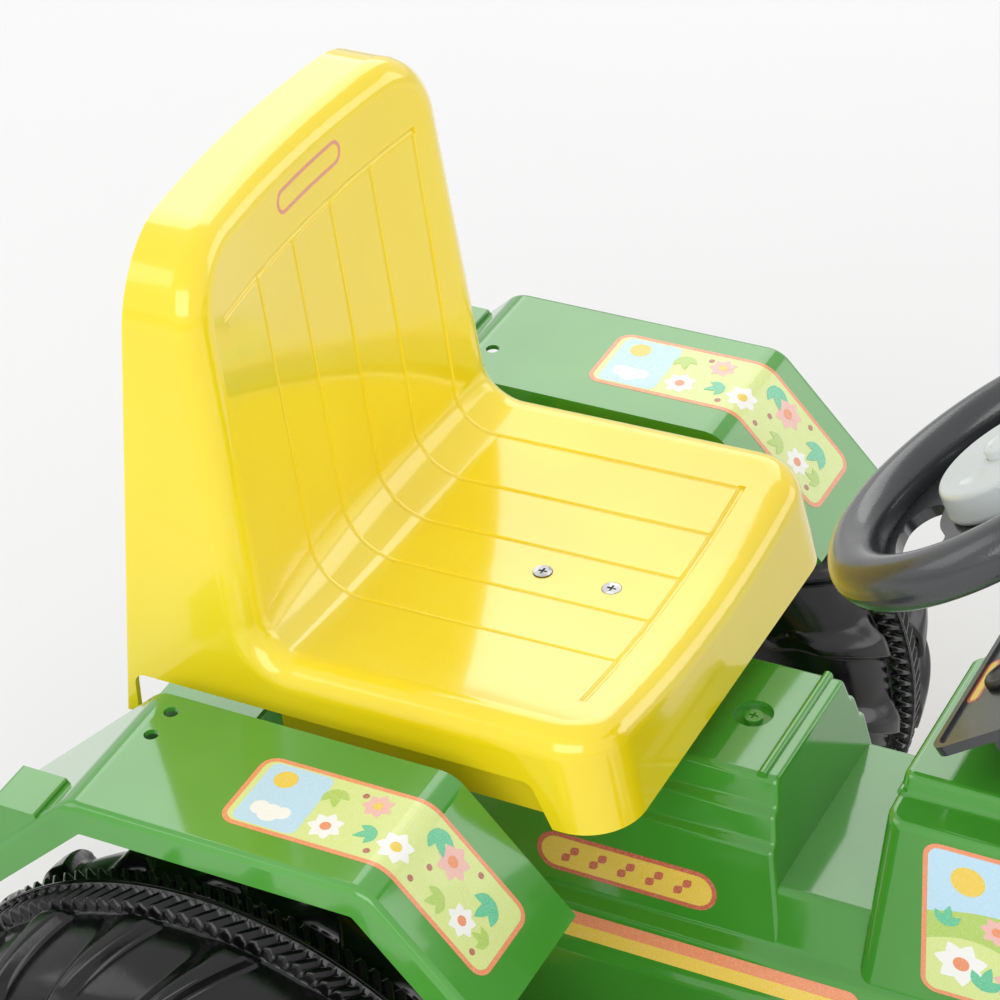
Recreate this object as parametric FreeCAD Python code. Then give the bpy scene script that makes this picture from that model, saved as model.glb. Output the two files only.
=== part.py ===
import FreeCAD, Part
import math
import os

# Ride-on pedal tractor for a small child, in millimetres.
# X runs forward, Y to the rider's left, Z up. The origin is on the ground under the middle of the part.
# Places along X are measured from the rear axle, and every piece is moved to the origin when it is written.

V = FreeCAD.Vector
X_AXIS = V(1, 0, 0)
Y_AXIS = V(0, 1, 0)
Z_AXIS = V(0, 0, 1)
SIDES = (("right", -1), ("left", 1))

# Shared clearances
OVERRUN = 5.0
RUN_GAP = 0.05
FACE_GAP = 0.3
CORNER_SHARE = 0.45

# Wheels and their places
WHEELBASE = 572.0
REAR_TYRE_R = 164.0
REAR_TYRE_HALF = 54.0
REAR_TRACK_HALF = 216.0
REAR_BORE_R = 90.0
REAR_BAND_HALF = 12.2
REAR_LUG_HEIGHT = 8.0
REAR_LUG_COUNT = 20
FRONT_TYRE_R = 95.0
FRONT_TYRE_HALF = 27.0
FRONT_TRACK_HALF = 165.0
FRONT_BORE_R = 54.0
FRONT_BAND_HALF = 6.5
FRONT_LUG_HEIGHT = 5.0
FRONT_LUG_COUNT = 16

# Tyre section, shared by both sizes
TYRE_WALL = 4.0
SIDEWALL_BULGE = 2.0
RIDGE_HALF = 1.4
RIDGE_HEIGHT = 1.0
BAND_BORDER = 2.0
BAND_DEPTH = 3.4
LUG_PROUD = 2.5
LUG_ROOT = 1.8
BEAD_INSET_SHARE = 0.15
SHOULDER_R_SHARE = 0.59
SHOULDER_BULGE_SHARES = (0.74, 0.66)
LUG_PLACE_SHARES = (0.0, 0.3, 0.64, 0.88)
LUG_SWEEP_SHARES = (0.0, 0.16, 0.42, 0.62, 0.74)
LUG_WIDTH_SHARES = (0.27, 0.21, 0.17, 0.16, 0.15)
LUG_FOOT_SHARE = 1.2
LUG_TOP_R_SHARES = (0.994, 0.984, 0.965, 0.942, 0.909)
LUG_TIP_LOW_R_SHARE = 0.72

# Rims, hub caps and axles
RIM_WALL = 4.0
RIM_LIP = 6.0
RIM_LIP_DEPTH = 3.0
RIM_HOLE_COUNT = 6
RIM_HOLE_R_SHARE = 0.17
RIM_HOLE_PLACE_SHARE = 0.58
RIM_DISH_SHARE = 0.3
REAR_AXLE_R = 8.0
REAR_HUB_R = 20.0
REAR_HUB_IN = 44.0
REAR_HUB_OUT = 30.0
STUB_R = 6.0
FRONT_HUB_R = 15.0
FRONT_HUB_IN = 24.0
FRONT_HUB_OUT = 16.0
NUT_R = 12.0
NUT_LENGTH = 8.0
FRONT_NUT_R = 9.0
FRONT_NUT_LENGTH = 5.0
CAP_WALL = 2.0
CAP_CROWN = 5.0
SPACER_WALL = 3.0

# Body shell: heights above the ground and half widths
BODY_WALL = 3.0
BODY_EDGE_R = 4.0
BODY_BOTTOM_Z = 108.0
BODY_BOTTOM_HALF = 74.0
SILL_EDGE_Z = 217.0
SILL_HALF = 80.0
STRIPE_FOOT_Z = 221.0
STRIPE_FOOT_HALF = 77.0
STRIPE_TOP_Z = 238.0
STRIPE_TOP_HALF = 71.0
WALL_FOOT_Z = 242.0
WALL_FOOT_HALF = 63.0
FLOOR_Z = 271.0
FLOOR_HALF = 56.0
CORE_Z = 200.0
LEDGE_Z = 289.0
LEDGE_HALF = 55.0
UPPER_LEDGE_Z = 304.0
UPPER_LEDGE_HALF = 47.5
LEDGE_DEPTH = 4.0
LEDGE_RISE = 2.5
PEDESTAL_TOP_Z = 320.0
PEDESTAL_TOP_HALF = 39.0
PEDESTAL_REAR_X = -38.0
PEDESTAL_LEAN = 6.0
PEDESTAL_END_R = 2.5
SADDLE_LENGTH = 46.0
BODY_REAR_X = -95.0
HOOD_BEHIND_AXLE = 322.0
HOOD_LEAN = 9.0
HOOD_CORNER_R = 9.0
CROWN_CORNER_R = 6.0
HOOD_FOOT_HALF = 68.0
HOOD_HALF = 65.0
HOOD_LEDGE_Z = 338.0
HOOD_CROWN_HALF = 48.0
HOOD_CROWN_RISE = 9.0
HOOD_CROWN_TAPER = 3.0
NOSE_AHEAD_OF_AXLE = 68.0
NOSE_CORNER_R = 34.0
NOSE_SLOPE_BEHIND_AXLE = 27.0
NOSE_DROP = 24.0
NOSE_BOTTOM_Z = 156.0
NOSE_CUT_BEHIND_AXLE = 125.0
BEAD_R = 2.4
BEAD_SETBACK = 8.0
CUP_R = 9.5
CUP_DEPTH = 3.5
CUP_SETBACK = 29.0
HOOD_CUP_BEHIND_AXLE = 44.0
BOSS_R = 8.0

# Steering column and dash
COLUMN_TILT = 35.0
STEER_BEHIND_AXLE = 278.7
STEER_Z = 493.1
RIM_CENTRE_R = 79.0
RIM_TUBE_R = 12.0
WEB_THICKNESS = 5.0
WEB_DROP = 6.0
SPOKE_COUNT = 4
SPOKE_TURN = 25.0
GAP_SPAN = 58.0
GAP_IN_R = 41.0
GAP_OUT_R = 63.0
STEER_BOSS_R = 20.0
STEER_BOSS_DEPTH = 46.0
HUB_COVER_R = 36.0
HUB_COVER_HEIGHT = 15.0
HUB_COVER_TAPER = 3.0
HUB_COVER_WALL = 3.0
HUB_DIMPLE_R = 6.5
HUB_DIMPLE_DEPTH = 2.0
HUB_DIMPLE_PLACE_R = 20.0
HUB_DIMPLE_COUNT = 2
HUB_DIMPLE_TURN = 63.0
HORN_R = 8.5
HORN_TRAVEL = 2.5
HORN_FLANGE = 2.0
HORN_FLANGE_HEIGHT = 2.0
SHAFT_R = 6.0
SHAFT_BEND_R = 11.0
SHAFT_NUT_R = 9.5
SHAFT_NUT_HEIGHT = 6.0
DASH_DROP = 91.0
DASH_THICKNESS = 5.0
DASH_BACK = 88.0
DASH_FRONT = 54.0
DASH_HALF = 48.0
DASH_RIM = 3.0
DASH_CORNER_R = 8.0
SKIRT_SETBACK = 27.0
SKIRT_INSET = 7.0
SKIRT_WALL = 3.0
PLUG_SETBACK = 20.0
PLUG_R = 11.0
PLUG_HEIGHT = 9.0
PLUG_EDGE_R = 2.0
PLUG_STEM_R = 5.0
PLUG_STEM_LENGTH = 10.0
COLLAR_R = 17.0
COLLAR_HEIGHT = 20.0
BUSH_WALL = 3.0
BUSH_FLANGE = 4.0
BUSH_FLANGE_HEIGHT = 2.5

# Chassis, front axle and steering linkage
CHASSIS_HALF = 20.0
CHASSIS_WALL = 2.5
CHASSIS_BOTTOM_Z = 126.0
CHASSIS_TOP_Z = 187.0
CHASSIS_REAR_X = -48.0
WINDOW_BEHIND_AXLE = 110.0
WINDOW_TOP_Z = 176.0
BEAM_DEPTH = 30.0
BEAM_BOTTOM_Z = 126.0
BEAM_TOP_Z = 150.0
BEAM_WALL = 3.0
BEAM_END = 14.0
KINGPIN_HALF = 105.0
KINGPIN_R = 7.0
KINGPIN_TOP_Z = 160.0
SHOULDER_R = 12.0
KNUCKLE_FOOT = 12.0
ARM_LENGTH = 72.0
ARM_HALF = 9.0
ARM_BOTTOM_Z = 108.0
ARM_TOP_Z = 114.0
TIE_PIN_R = 5.0
TIE_PIN_TOP_Z = 124.0
TIE_THICKNESS = 3.0
TIE_HALF = 9.0
TIE_SLOT_HALF = 21.0
TIE_SLOT_LENGTH = 14.0
PITMAN_PIN_R = 4.0
PITMAN_PIN_ABOVE = 20.0
PITMAN_PIN_BELOW = 8.0
PITMAN_SLOT_GAP = 1.6
CLIP_WALL = 4.0
CLIP_HEIGHT = 2.5

# Drive
CHAIN_PITCH = 12.7
CRANK_BEHIND_AXLE = 200.0
SPROCKET_TEETH = 18
SPROCKET_THICKNESS = 2.4
SPROCKET_BORE_RING = 14.0
SPROCKET_HUB_LENGTH = 8.0
SPROCKET_Y = -40.0
TOOTH_HEIGHT = 2.6
TOOTH_FLARE_SHARE = 0.8
ROLLER_R = 3.0
ROLLER_GAP = 0.15
LINK_HALF_HEIGHT = 4.4
LINK_PLATE = 0.9
LINK_INNER_WIDTH = 3.4
LINK_GAP = 0.1
LINK_END_SHARE = 0.55
CRANK_R = 6.0
CRANK_ARM = 64.0
CRANK_HALF = 92.0
CRANK_BEND_R = 10.0
PEDAL_LENGTH = 52.0
PEDAL_WIDTH = 60.0
PEDAL_HEIGHT = 22.0
PEDAL_CORNER_R = 7.0
PEDAL_GROOVE_COUNT = 5
PEDAL_GROOVE_DEPTH = 2.0
PEDAL_GROOVE_WIDTH = 3.0
PEDAL_CAP_LENGTH = 5.0
PEDAL_CAP_R = 10.0
CRANK_HOLE_GAP = 4.0
AXLE_HOLE_GAP = 4.0

# Undertray
TRAY_THICKNESS = 2.5
TRAY_LIP = 22.0
TRAY_BEHIND_AXLE = 132.0
TRAY_SCREW_REAR_X = 60.0
TRAY_SCREW_SETBACK = 140.0

# Seat: the sitting line runs along the middle, and the shell hangs from it
SEAT_WALL = 3.2
SEAT_RIM_Z = 333.5
SEAT_RIM_HALF = 122.0
SEAT_TOP_Z = 581.0
SEAT_TOP_HALF = 110.0
SEAT_PAN_X = 81.0
SEAT_PAN_Z = 372.5
SEAT_PAN_PITCH = 1.0
SEAT_BACK_X = -42.0
SEAT_BACK_DROP = 39.0
SEAT_RECLINE = 4.0
SEAT_BIGHT_R = 28.0
SEAT_DISH_R = 560.0
SEAT_FRONT_X = 159.0
SEAT_FRONT_LEAN = 10.0
SEAT_REAR_FOOT_X = -94.5
SEAT_REAR_TOP_X = -65.0
SEAT_TOP_CORNER_R = 40.0
SEAT_FRONT_CORNER_R = 28.0
SEAT_EDGE_R = 13.0
SEAT_FLANGE_DROP = 16.5
SEAT_FLANGE_R = 6.0
SEAT_HEEL = 6.0
SEAT_APRON_RUN = 43.0
SEAT_APRON_SLANT = 18.0
SEAT_SKIRT_REAR_X = -15.0
SEAT_SKIRT_SET_IN = 9.0
GROOVE_R = 1.5
CROSS_GROOVE_R = 2.0
GROOVE_LIFT = 0.7
GROOVE_COUNT = 6
GROOVE_HALF = 85.0
GROOVE_FRONT_X = 127.0
GROOVE_TOP_DROP = 39.0
SEAT_SCREW_X = (63.5, 99.1)
SEAT_BOSS_R = 10.0
SEAT_SINK = 2.0
RISER_TOP_Z = 361.0
RISER_REAR_X = 40.0
RISER_FRONT_X = 122.0
RISER_HALF = 30.0
RISER_WALL = 3.0
RISER_FOOT = 6.0

# Fenders and the cross-member that carries them
FENDER_TOP_Z = 367.0
FENDER_REAR_X = -61.0
FENDER_FRONT_X = 89.4
FENDER_FRONT_RUN = 55.1
FENDER_FRONT_DROP = 63.5
FENDER_REAR_RUN = 92.0
FENDER_REAR_DROP = 84.0
FENDER_IN = 139.0
FENDER_OUT = 222.0
FENDER_WALL = 2.5
FENDER_FLANGE = 16.0
FENDER_INNER_DEPTH = 36.0
FENDER_CREASE_R = 16.0
FENDER_EDGE_R = 4.0
FENDER_HOLE_R = 3.5
FENDER_HOLE_X = -49.0
FENDER_HOLE_INSET = 11.0
FENDER_HOLE_SPACING = 17.0
FENDER_TAB_DEPTH = 82.0
TAIL_SETBACK = 18.0
TAIL_LENGTH = 25.0
TAIL_WIDTH = 27.0
TAIL_EDGE = 2.0
TAIL_DROP = 15.0
TAIL_CORNER_R = 2.0
CROSS_REAR_X = -94.0
CROSS_FRONT_X = -42.0
CROSS_TOP_Z = 324.0
CROSS_WALL = 3.0
CROSS_LEG_HALF = 50.0
CROSS_END_DEPTH = 36.0

# Nose trim and hitch
GRILLE_HALF = 44.0
GRILLE_BOTTOM_Z = 186.0
GRILLE_TOP_Z = 312.0
GRILLE_THICKNESS = 5.0
GRILLE_RIM = 7.0
GRILLE_CORNER_R = 10.0
GRILLE_SLOTS = 8
GRILLE_SLOT_SHARE = 0.55
GRILLE_LAMP_BAND = 38.0
LAMP_R = 15.0
LAMP_CROWN = 6.0
LAMP_PLACE = 24.0
GRILLE_SPIGOT = 8.0
HITCH_REACH = 190.0
HITCH_HALF = 17.0
HITCH_THICKNESS = 5.0
HITCH_HOLE_R = 6.5
HITCH_ROOT_X = -10.0
HITCH_BOLT_X = (-38.0, -18.0)

# Fasteners
SCREW_R = 2.4
SCREW_HEAD_R = 4.5
SCREW_HEAD_HEIGHT = 2.4
SCREW_SLOT = 1.1
SCREW_LENGTH = 16.0

# Worked-out places
AXLE_Z = REAR_TYRE_R
HOOD_FOOT_X = WHEELBASE - HOOD_BEHIND_AXLE
HOOD_TOP_X = HOOD_FOOT_X + HOOD_LEAN
HOOD_TOP_Z = HOOD_LEDGE_Z + HOOD_CROWN_RISE + LEDGE_RISE
PEDESTAL_FOOT_X = HOOD_FOOT_X - SADDLE_LENGTH
PEDESTAL_TOP_X = PEDESTAL_FOOT_X - PEDESTAL_LEAN
NOSE_X = WHEELBASE + NOSE_AHEAD_OF_AXLE
NOSE_SLOPE_X = WHEELBASE - NOSE_SLOPE_BEHIND_AXLE
NOSE_CUT_X = WHEELBASE - NOSE_CUT_BEHIND_AXLE
BEAD_X = PEDESTAL_TOP_X - BEAD_SETBACK
SHELL_SCREWS = (
    (PEDESTAL_TOP_X - CUP_SETBACK, PEDESTAL_TOP_Z),
    (WHEELBASE - HOOD_CUP_BEHIND_AXLE, HOOD_TOP_Z),
)
STEER_X = WHEELBASE - STEER_BEHIND_AXLE
WINDOW_REAR_X = WHEELBASE - WINDOW_BEHIND_AXLE
TRAY_FRONT_X = WHEELBASE - TRAY_BEHIND_AXLE
TRAY_SCREW_X = (TRAY_SCREW_REAR_X, TRAY_FRONT_X - TRAY_SCREW_SETBACK)
TRAY_SCREW_Z = BODY_BOTTOM_Z + TRAY_LIP / 2
BEAM_REAR_X = WHEELBASE - BEAM_DEPTH / 2
BEAM_FRONT_X = WHEELBASE + BEAM_DEPTH / 2
BUSH_REACH = 2 * SHAFT_R
SEAT_BACK_Z = SEAT_TOP_Z - SEAT_BACK_DROP
GROOVE_TOP_Z = SEAT_TOP_Z - GROOVE_TOP_DROP
RUN_PITCHES = math.floor((WHEELBASE - CRANK_BEHIND_AXLE) / CHAIN_PITCH)
CHAIN_LINKS = SPROCKET_TEETH + 2 * RUN_PITCHES
HITCH_Z = CHASSIS_TOP_Z - CHASSIS_WALL - HITCH_THICKNESS
CRANK_X = RUN_PITCHES * CHAIN_PITCH
SPROCKET_R = SPROCKET_TEETH * CHAIN_PITCH / (2 * math.pi)
FRONT_END_X = WHEELBASE + FRONT_TYRE_R
ORIGIN_X = (FRONT_END_X - HITCH_REACH) / 2
TILT = math.radians(COLUMN_TILT)
COLUMN_UP = V(-math.sin(TILT), 0, math.cos(TILT))
COLUMN_ALONG = V(math.cos(TILT), 0, math.sin(TILT))
STEER_CENTRE = V(STEER_X, 0, STEER_Z)
TIE_X = WHEELBASE - ARM_LENGTH
TIE_Z = ARM_TOP_Z + FACE_GAP + TIE_THICKNESS / 2
PITMAN_KNEE = V(TIE_X, 0, TIE_Z) + COLUMN_UP * PITMAN_PIN_ABOVE
SHAFT_FOOT = STEER_CENTRE + COLUMN_UP * COLUMN_UP.dot(PITMAN_KNEE - STEER_CENTRE)

pieces = {}


def box(low, high):
    size = high - low
    return Part.makeBox(size.x, size.y, size.z, low)


def rod(start, end, radius):
    return Part.makeCylinder(radius, (end - start).Length, start, end - start)


def tube(start, end, inner_r, outer_r):
    ends = (end - start).normalize() * OVERRUN
    return rod(start, end, outer_r).cut(rod(start - ends, end + ends, inner_r))


def mirrored(shape):
    return shape.mirror(V(0, 0, 0), Y_AXIS)


def on_side(shape, side):
    return shape if side > 0 else mirrored(shape)


def joined(shapes):
    return shapes[0].multiFuse(shapes[1:]).removeSplitter() if len(shapes) > 1 else shapes[0]


def without(shape, cutters):
    for cutter in cutters:
        shape = shape.cut(cutter)
    return shape


def rounded_wire(points, radius, closed=True):
    """A wire through the points, with each inner corner rounded as far as its sides allow."""
    corners = []
    last = len(points) - 1
    for index, point in enumerate(points):
        if not closed and index in (0, last):
            corners.append((point, point, point))
            continue
        back = points[index - 1] - point
        ahead = points[(index + 1) % len(points)] - point
        reach = min(back.Length, ahead.Length) * CORNER_SHARE
        back.normalize()
        ahead.normalize()
        half = back.getAngle(ahead) / 2
        if math.tan(half) * reach <= 0 or math.cos(half) < math.sin(math.radians(1)):
            corners.append((point, point, point))
            continue
        trim = min(radius / math.tan(half), reach)
        bisector = (back + ahead).normalize()
        middle = point + bisector * (trim / math.cos(half) - trim * math.tan(half))
        corners.append((point + back * trim, middle, point + ahead * trim))
    edges = []
    for index, (start, middle, end) in enumerate(corners):
        if start != end:
            edges.append(Part.Arc(start, middle, end).toShape())
        if closed or index < last:
            following = corners[(index + 1) % len(corners)][0]
            if (following - end).Length > 0:
                edges.append(Part.LineSegment(end, following).toShape())
    return Part.Wire(edges)


def pipe(spine, radius):
    """A round bar along a wire."""
    first = spine.OrderedEdges[0]
    start = first.valueAt(first.FirstParameter)
    disc = Part.Wire(Part.makeCircle(radius, start, first.tangentAt(first.FirstParameter)))
    shape = spine.makePipeShell([disc], True, False)
    return shape if shape.Volume > 0 else shape.reversed()


def polygon(points):
    return Part.makePolygon(list(points) + [points[0]])


def prism(wire, along):
    return Part.Face(wire).extrude(along)


def side_prism(points, half, radius=0.0):
    """A side-view outline of (x, z) points, extruded across the part."""
    corners = [V(x, -half, z) for x, z in points]
    wire = rounded_wire(corners, radius) if radius > 0 else polygon(corners)
    return prism(wire, Y_AXIS * (2 * half))


def moved_in(points, inset):
    """A closed outline of (a, b) points, anticlockwise, with every side moved inwards."""
    result = []
    for index, (a, b) in enumerate(points):
        a0, b0 = points[index - 1]
        a1, b1 = points[(index + 1) % len(points)]
        first = V(b0 - b, a - a0, 0).normalize()
        second = V(b - b1, a1 - a, 0).normalize()
        shift = (first + second) * (inset / (1 + first.dot(second)))
        result.append((a + shift.x, b + shift.y))
    return result


def both_halves(points):
    """A closed outline from its right-hand half, listed from the bottom up."""
    return points + [(-y, z) for y, z in reversed(points)]


def section_prism(half_points, inset, radius, start_x, end_x, open_to=None):
    """A cross-section of (y, z) points, moved in by the inset and extruded along the part."""
    points = moved_in(both_halves(half_points), inset)
    if open_to is not None:
        points[0] = (points[0][0], open_to)
        points[-1] = (points[-1][0], open_to)
    wire = rounded_wire([V(start_x, y, z) for y, z in points], radius)
    return prism(wire, X_AXIS * (end_x - start_x))


def faceted(rings):
    """A solid of flat triangles through four-cornered rings."""
    corners = []
    for near, far in zip(rings, rings[1:]):
        for index in range(len(near)):
            after = (index + 1) % len(near)
            corners.append((near[index], near[after], far[after]))
            corners.append((near[index], far[after], far[index]))
    for first, second, third, fourth in (rings[0], rings[-1]):
        corners.append((first, second, third))
        corners.append((first, third, fourth))
    solid = Part.Solid(Part.makeShell([Part.Face(polygon(triangle)) for triangle in corners]))
    return solid if solid.Volume > 0 else solid.reversed()


def along_slope(x_low, z_low, x_high, z_high, z):
    return x_low + (x_high - x_low) * (z - z_low) / (z_high - z_low)


def behind_slope(x_low, z_low, x_high, z_high, half, forward):
    """The half-space behind (or ahead of) a sloping cross plane, as a large prism."""
    bottom = z_low - 2 * half
    top = z_high + 2 * half
    reach = forward * 2 * (top - bottom)
    low_x = along_slope(x_low, z_low, x_high, z_high, bottom)
    high_x = along_slope(x_low, z_low, x_high, z_high, top)
    far = max(low_x, high_x) + reach if forward > 0 else min(low_x, high_x) + reach
    return side_prism([(low_x, bottom), (high_x, top), (far, top), (far, bottom)], 2 * half)


def screw(head, down, length):
    """A cross-head screw: head is the top of its head, and down points along the shank."""
    down = V(down).normalize()
    seat = head + down * SCREW_HEAD_HEIGHT
    shape = rod(head, seat, SCREW_HEAD_R).fuse(rod(seat, seat + down * length, SCREW_R))
    across = down.cross(X_AXIS if abs(down.x) < abs(down.z) + abs(down.y) else Y_AXIS).normalize()
    other = down.cross(across)
    slots = []
    for first, second in ((across, other), (other, across)):
        corner = head - down * SCREW_SLOT - first * SCREW_HEAD_R / 2 - second * SCREW_SLOT / 2
        outline = polygon([
            corner,
            corner + first * SCREW_HEAD_R,
            corner + first * SCREW_HEAD_R + second * SCREW_SLOT,
            corner + second * SCREW_SLOT,
        ])
        slots.append(prism(outline, down * (2 * SCREW_SLOT)))
    return without(shape, slots)


def group(shapes):
    return Part.makeCompound(shapes)


# Tyres, rims and caps


def arc_height(first, middle, last, place):
    """The height at a place on the circle through three (place, height) points, on its upper side."""
    circle = Part.Circle(V(first[0], first[1], 0), V(middle[0], middle[1], 0), V(last[0], last[1], 0))
    centre = circle.Center
    return centre.y + math.sqrt(circle.Radius ** 2 - (place - centre.x) ** 2)


def sidewall(radius, half, bore_r):
    """The (radius, place) points of a tyre's sidewall arc: at the bead, halfway, and at the shoulder."""
    shoulder_r = bore_r + (radius - bore_r) * SHOULDER_R_SHARE
    bead_half = half * (1 - BEAD_INSET_SHARE)
    middle = ((bore_r + shoulder_r) / 2, (half + bead_half) / 2 + SIDEWALL_BULGE)
    return (bore_r, bead_half), middle, (shoulder_r, half)


def tyre(radius, half, bore_r, band_half, lug_height, lug_count):
    """A hollow moulded tyre about the Y axis: open at the bore, with swept lugs beside a centre band."""
    crown_r = radius - lug_height
    (_, bead_half), (middle_r, middle_half), (shoulder_r, _) = sidewall(radius, half, bore_r)
    bulge = (
        band_half + (half - band_half) * SHOULDER_BULGE_SHARES[0],
        shoulder_r + (crown_r - shoulder_r) * SHOULDER_BULGE_SHARES[1],
    )
    border_r = radius - RIDGE_HEIGHT
    channel_r = radius - BAND_DEPTH
    inner_crown_r = crown_r - TYRE_WALL
    outer = [
        Part.Arc(
            V(0, bead_half, bore_r),
            V(0, middle_half, middle_r),
            V(0, half, shoulder_r),
        ).toShape(),
        Part.Arc(V(0, half, shoulder_r), V(0, *bulge), V(0, band_half, crown_r)).toShape(),
    ]
    band = [
        V(0, band_half, crown_r),
        V(0, band_half, border_r),
        V(0, band_half - BAND_BORDER, border_r),
        V(0, band_half - BAND_BORDER, channel_r),
        V(0, RIDGE_HALF, channel_r),
        V(0, RIDGE_HALF, radius),
        V(0, 0, radius),
    ]
    inner = [
        V(0, bead_half - TYRE_WALL, bore_r),
        V(0, half - TYRE_WALL, shoulder_r),
        V(0, bulge[0] - TYRE_WALL, bulge[1] - TYRE_WALL),
        V(0, band_half, inner_crown_r),
        V(0, 0, inner_crown_r),
    ]
    edges = outer
    for line in (band, inner):
        edges += [Part.LineSegment(a, b).toShape() for a, b in zip(line, line[1:])]
    edges.append(Part.LineSegment(V(0, bead_half, bore_r), V(0, bead_half - TYRE_WALL, bore_r)).toShape())
    edges.append(Part.LineSegment(V(0, 0, radius), V(0, 0, inner_crown_r)).toShape())
    right_half = Part.Face(Part.Wire(Part.sortEdges(edges)[0])).revolve(V(0, 0, 0), Y_AXIS, 360)
    lug = tyre_lug(radius, half, band_half, (half, shoulder_r), bulge, (band_half, crown_r), lug_count)
    solids = [right_half]
    for index in range(lug_count):
        copy = lug.copy()
        copy.rotate(V(0, 0, 0), Y_AXIS, index * 360 / lug_count)
        solids.append(copy)
    side = solids[0].multiFuse(solids[1:])
    other = mirrored(side)
    other.rotate(V(0, 0, 0), Y_AXIS, 180 / lug_count)
    return side.fuse(other).removeSplitter()


def tyre_lug(radius, half, band_half, shoulder, bulge, crown, lug_count):
    """One lug of the tyre's right-hand side, swept back from the band over the shoulder."""
    turn = 2 * math.pi / lug_count
    feet = []
    for share in LUG_PLACE_SHARES:
        y = band_half + RIDGE_HEIGHT + (half - band_half - RIDGE_HEIGHT) * share
        feet.append((y, arc_height(shoulder, bulge, crown, y) - LUG_ROOT))
    tops = [(y, radius * share) for (y, _), share in zip(feet, LUG_TOP_R_SHARES)]
    feet.append((half - BAND_BORDER, radius * LUG_TIP_LOW_R_SHARE))
    tops.append((half + LUG_PROUD, radius * LUG_TOP_R_SHARES[-1]))
    rings = []
    for foot, top, sweep, width in zip(feet, tops, LUG_SWEEP_SHARES, LUG_WIDTH_SHARES):
        ring = []
        for (y, r), spread in ((foot, -LUG_FOOT_SHARE), (top, -1), (top, 1), (foot, LUG_FOOT_SHARE)):
            angle = math.pi / 2 + turn * (sweep + width * spread)
            ring.append(V(r * math.cos(angle), y, r * math.sin(angle)))
        rings.append(ring)
    return faceted(rings)


def rim(bore_r, side, hub_r, hub_in, hub_out):
    """A dished wheel disc about the Y axis, its outer face towards +Y, inside a tyre with the given sidewall."""
    (barrel_r, bead_half), _, (_, half) = side
    outer_r = barrel_r - FACE_GAP
    lip_r = barrel_r + RIM_LIP
    lip_start = arc_height(*side, lip_r) + FACE_GAP
    barrel = tube(V(0, -bead_half, 0), V(0, lip_start, 0), outer_r - RIM_WALL, outer_r)
    lip = tube(V(0, lip_start, 0), V(0, lip_start + RIM_LIP_DEPTH, 0), outer_r - RIM_WALL, lip_r)
    hub = tube(V(0, -hub_in, 0), V(0, hub_out, 0), bore_r, hub_r)
    dish = half * RIM_DISH_SHARE
    profile = polygon([
        V(0, hub_out - RIM_WALL - RIM_WALL, hub_r - RIM_WALL),
        V(0, hub_out - RIM_WALL, hub_r - RIM_WALL),
        V(0, dish, outer_r - RIM_WALL / 2),
        V(0, dish - RIM_WALL, outer_r - RIM_WALL / 2),
    ])
    disc = Part.Face(profile).revolve(V(0, 0, 0), Y_AXIS, 360)
    shape = joined([barrel, lip, hub, disc])
    place = outer_r * RIM_HOLE_PLACE_SHARE
    holes = []
    for index in range(RIM_HOLE_COUNT):
        angle = 2 * math.pi * index / RIM_HOLE_COUNT
        centre = V(place * math.cos(angle), 0, place * math.sin(angle))
        holes.append(rod(centre - Y_AXIS * half, centre + Y_AXIS * half, outer_r * RIM_HOLE_R_SHARE))
    return without(shape, holes)


def hub_cap(hub_r, hub_out, nut_length):
    """A crowned cap about the Y axis, seated on the hub's outer end over the axle nut."""
    depth = nut_length + 2 * FACE_GAP + CAP_WALL
    start = V(0, hub_out, 0)
    end = V(0, hub_out + depth, 0)
    shell = tube(start, end, hub_r - CAP_WALL, hub_r)
    lid_r = (hub_r ** 2 + CAP_CROWN ** 2) / (2 * CAP_CROWN)
    centre = end + Y_AXIS * (CAP_CROWN - lid_r)
    dome = Part.makeSphere(lid_r, centre).common(rod(end - Y_AXIS * CAP_WALL, end + Y_AXIS * CAP_CROWN, hub_r))
    return joined([shell, dome])


def placed(shape, x, y, z, side):
    """A wheel piece made about the Y axis, moved to its place on one side."""
    copy = on_side(shape, side).copy()
    copy.translate(V(x, side * y, z))
    return copy


def build_wheels():
    rear_tyre = tyre(REAR_TYRE_R, REAR_TYRE_HALF, REAR_BORE_R, REAR_BAND_HALF, REAR_LUG_HEIGHT, REAR_LUG_COUNT)
    front_tyre = tyre(
        FRONT_TYRE_R, FRONT_TYRE_HALF, FRONT_BORE_R, FRONT_BAND_HALF, FRONT_LUG_HEIGHT, FRONT_LUG_COUNT
    )
    rear_side = sidewall(REAR_TYRE_R, REAR_TYRE_HALF, REAR_BORE_R)
    front_side = sidewall(FRONT_TYRE_R, FRONT_TYRE_HALF, FRONT_BORE_R)
    rear_rim = rim(REAR_AXLE_R + RUN_GAP, rear_side, REAR_HUB_R, REAR_HUB_IN, REAR_HUB_OUT)
    front_rim = rim(STUB_R + RUN_GAP, front_side, FRONT_HUB_R, FRONT_HUB_IN, FRONT_HUB_OUT)
    rear_cap = hub_cap(REAR_HUB_R, REAR_HUB_OUT, NUT_LENGTH)
    front_cap = hub_cap(FRONT_HUB_R, FRONT_HUB_OUT, FRONT_NUT_LENGTH)
    for name, side in SIDES:
        for end, shapes, x, y, z in (
            ("rear", (rear_tyre, rear_rim, rear_cap), 0, REAR_TRACK_HALF, AXLE_Z),
            ("front", (front_tyre, front_rim, front_cap), WHEELBASE, FRONT_TRACK_HALF, FRONT_TYRE_R),
        ):
            for kind, shape in zip(("tyre", "rim", "hub_cap"), shapes):
                pieces[f"{end}_{name}_{kind}"] = placed(shape, x, y, z, side)


# Body shell and what closes it


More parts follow.
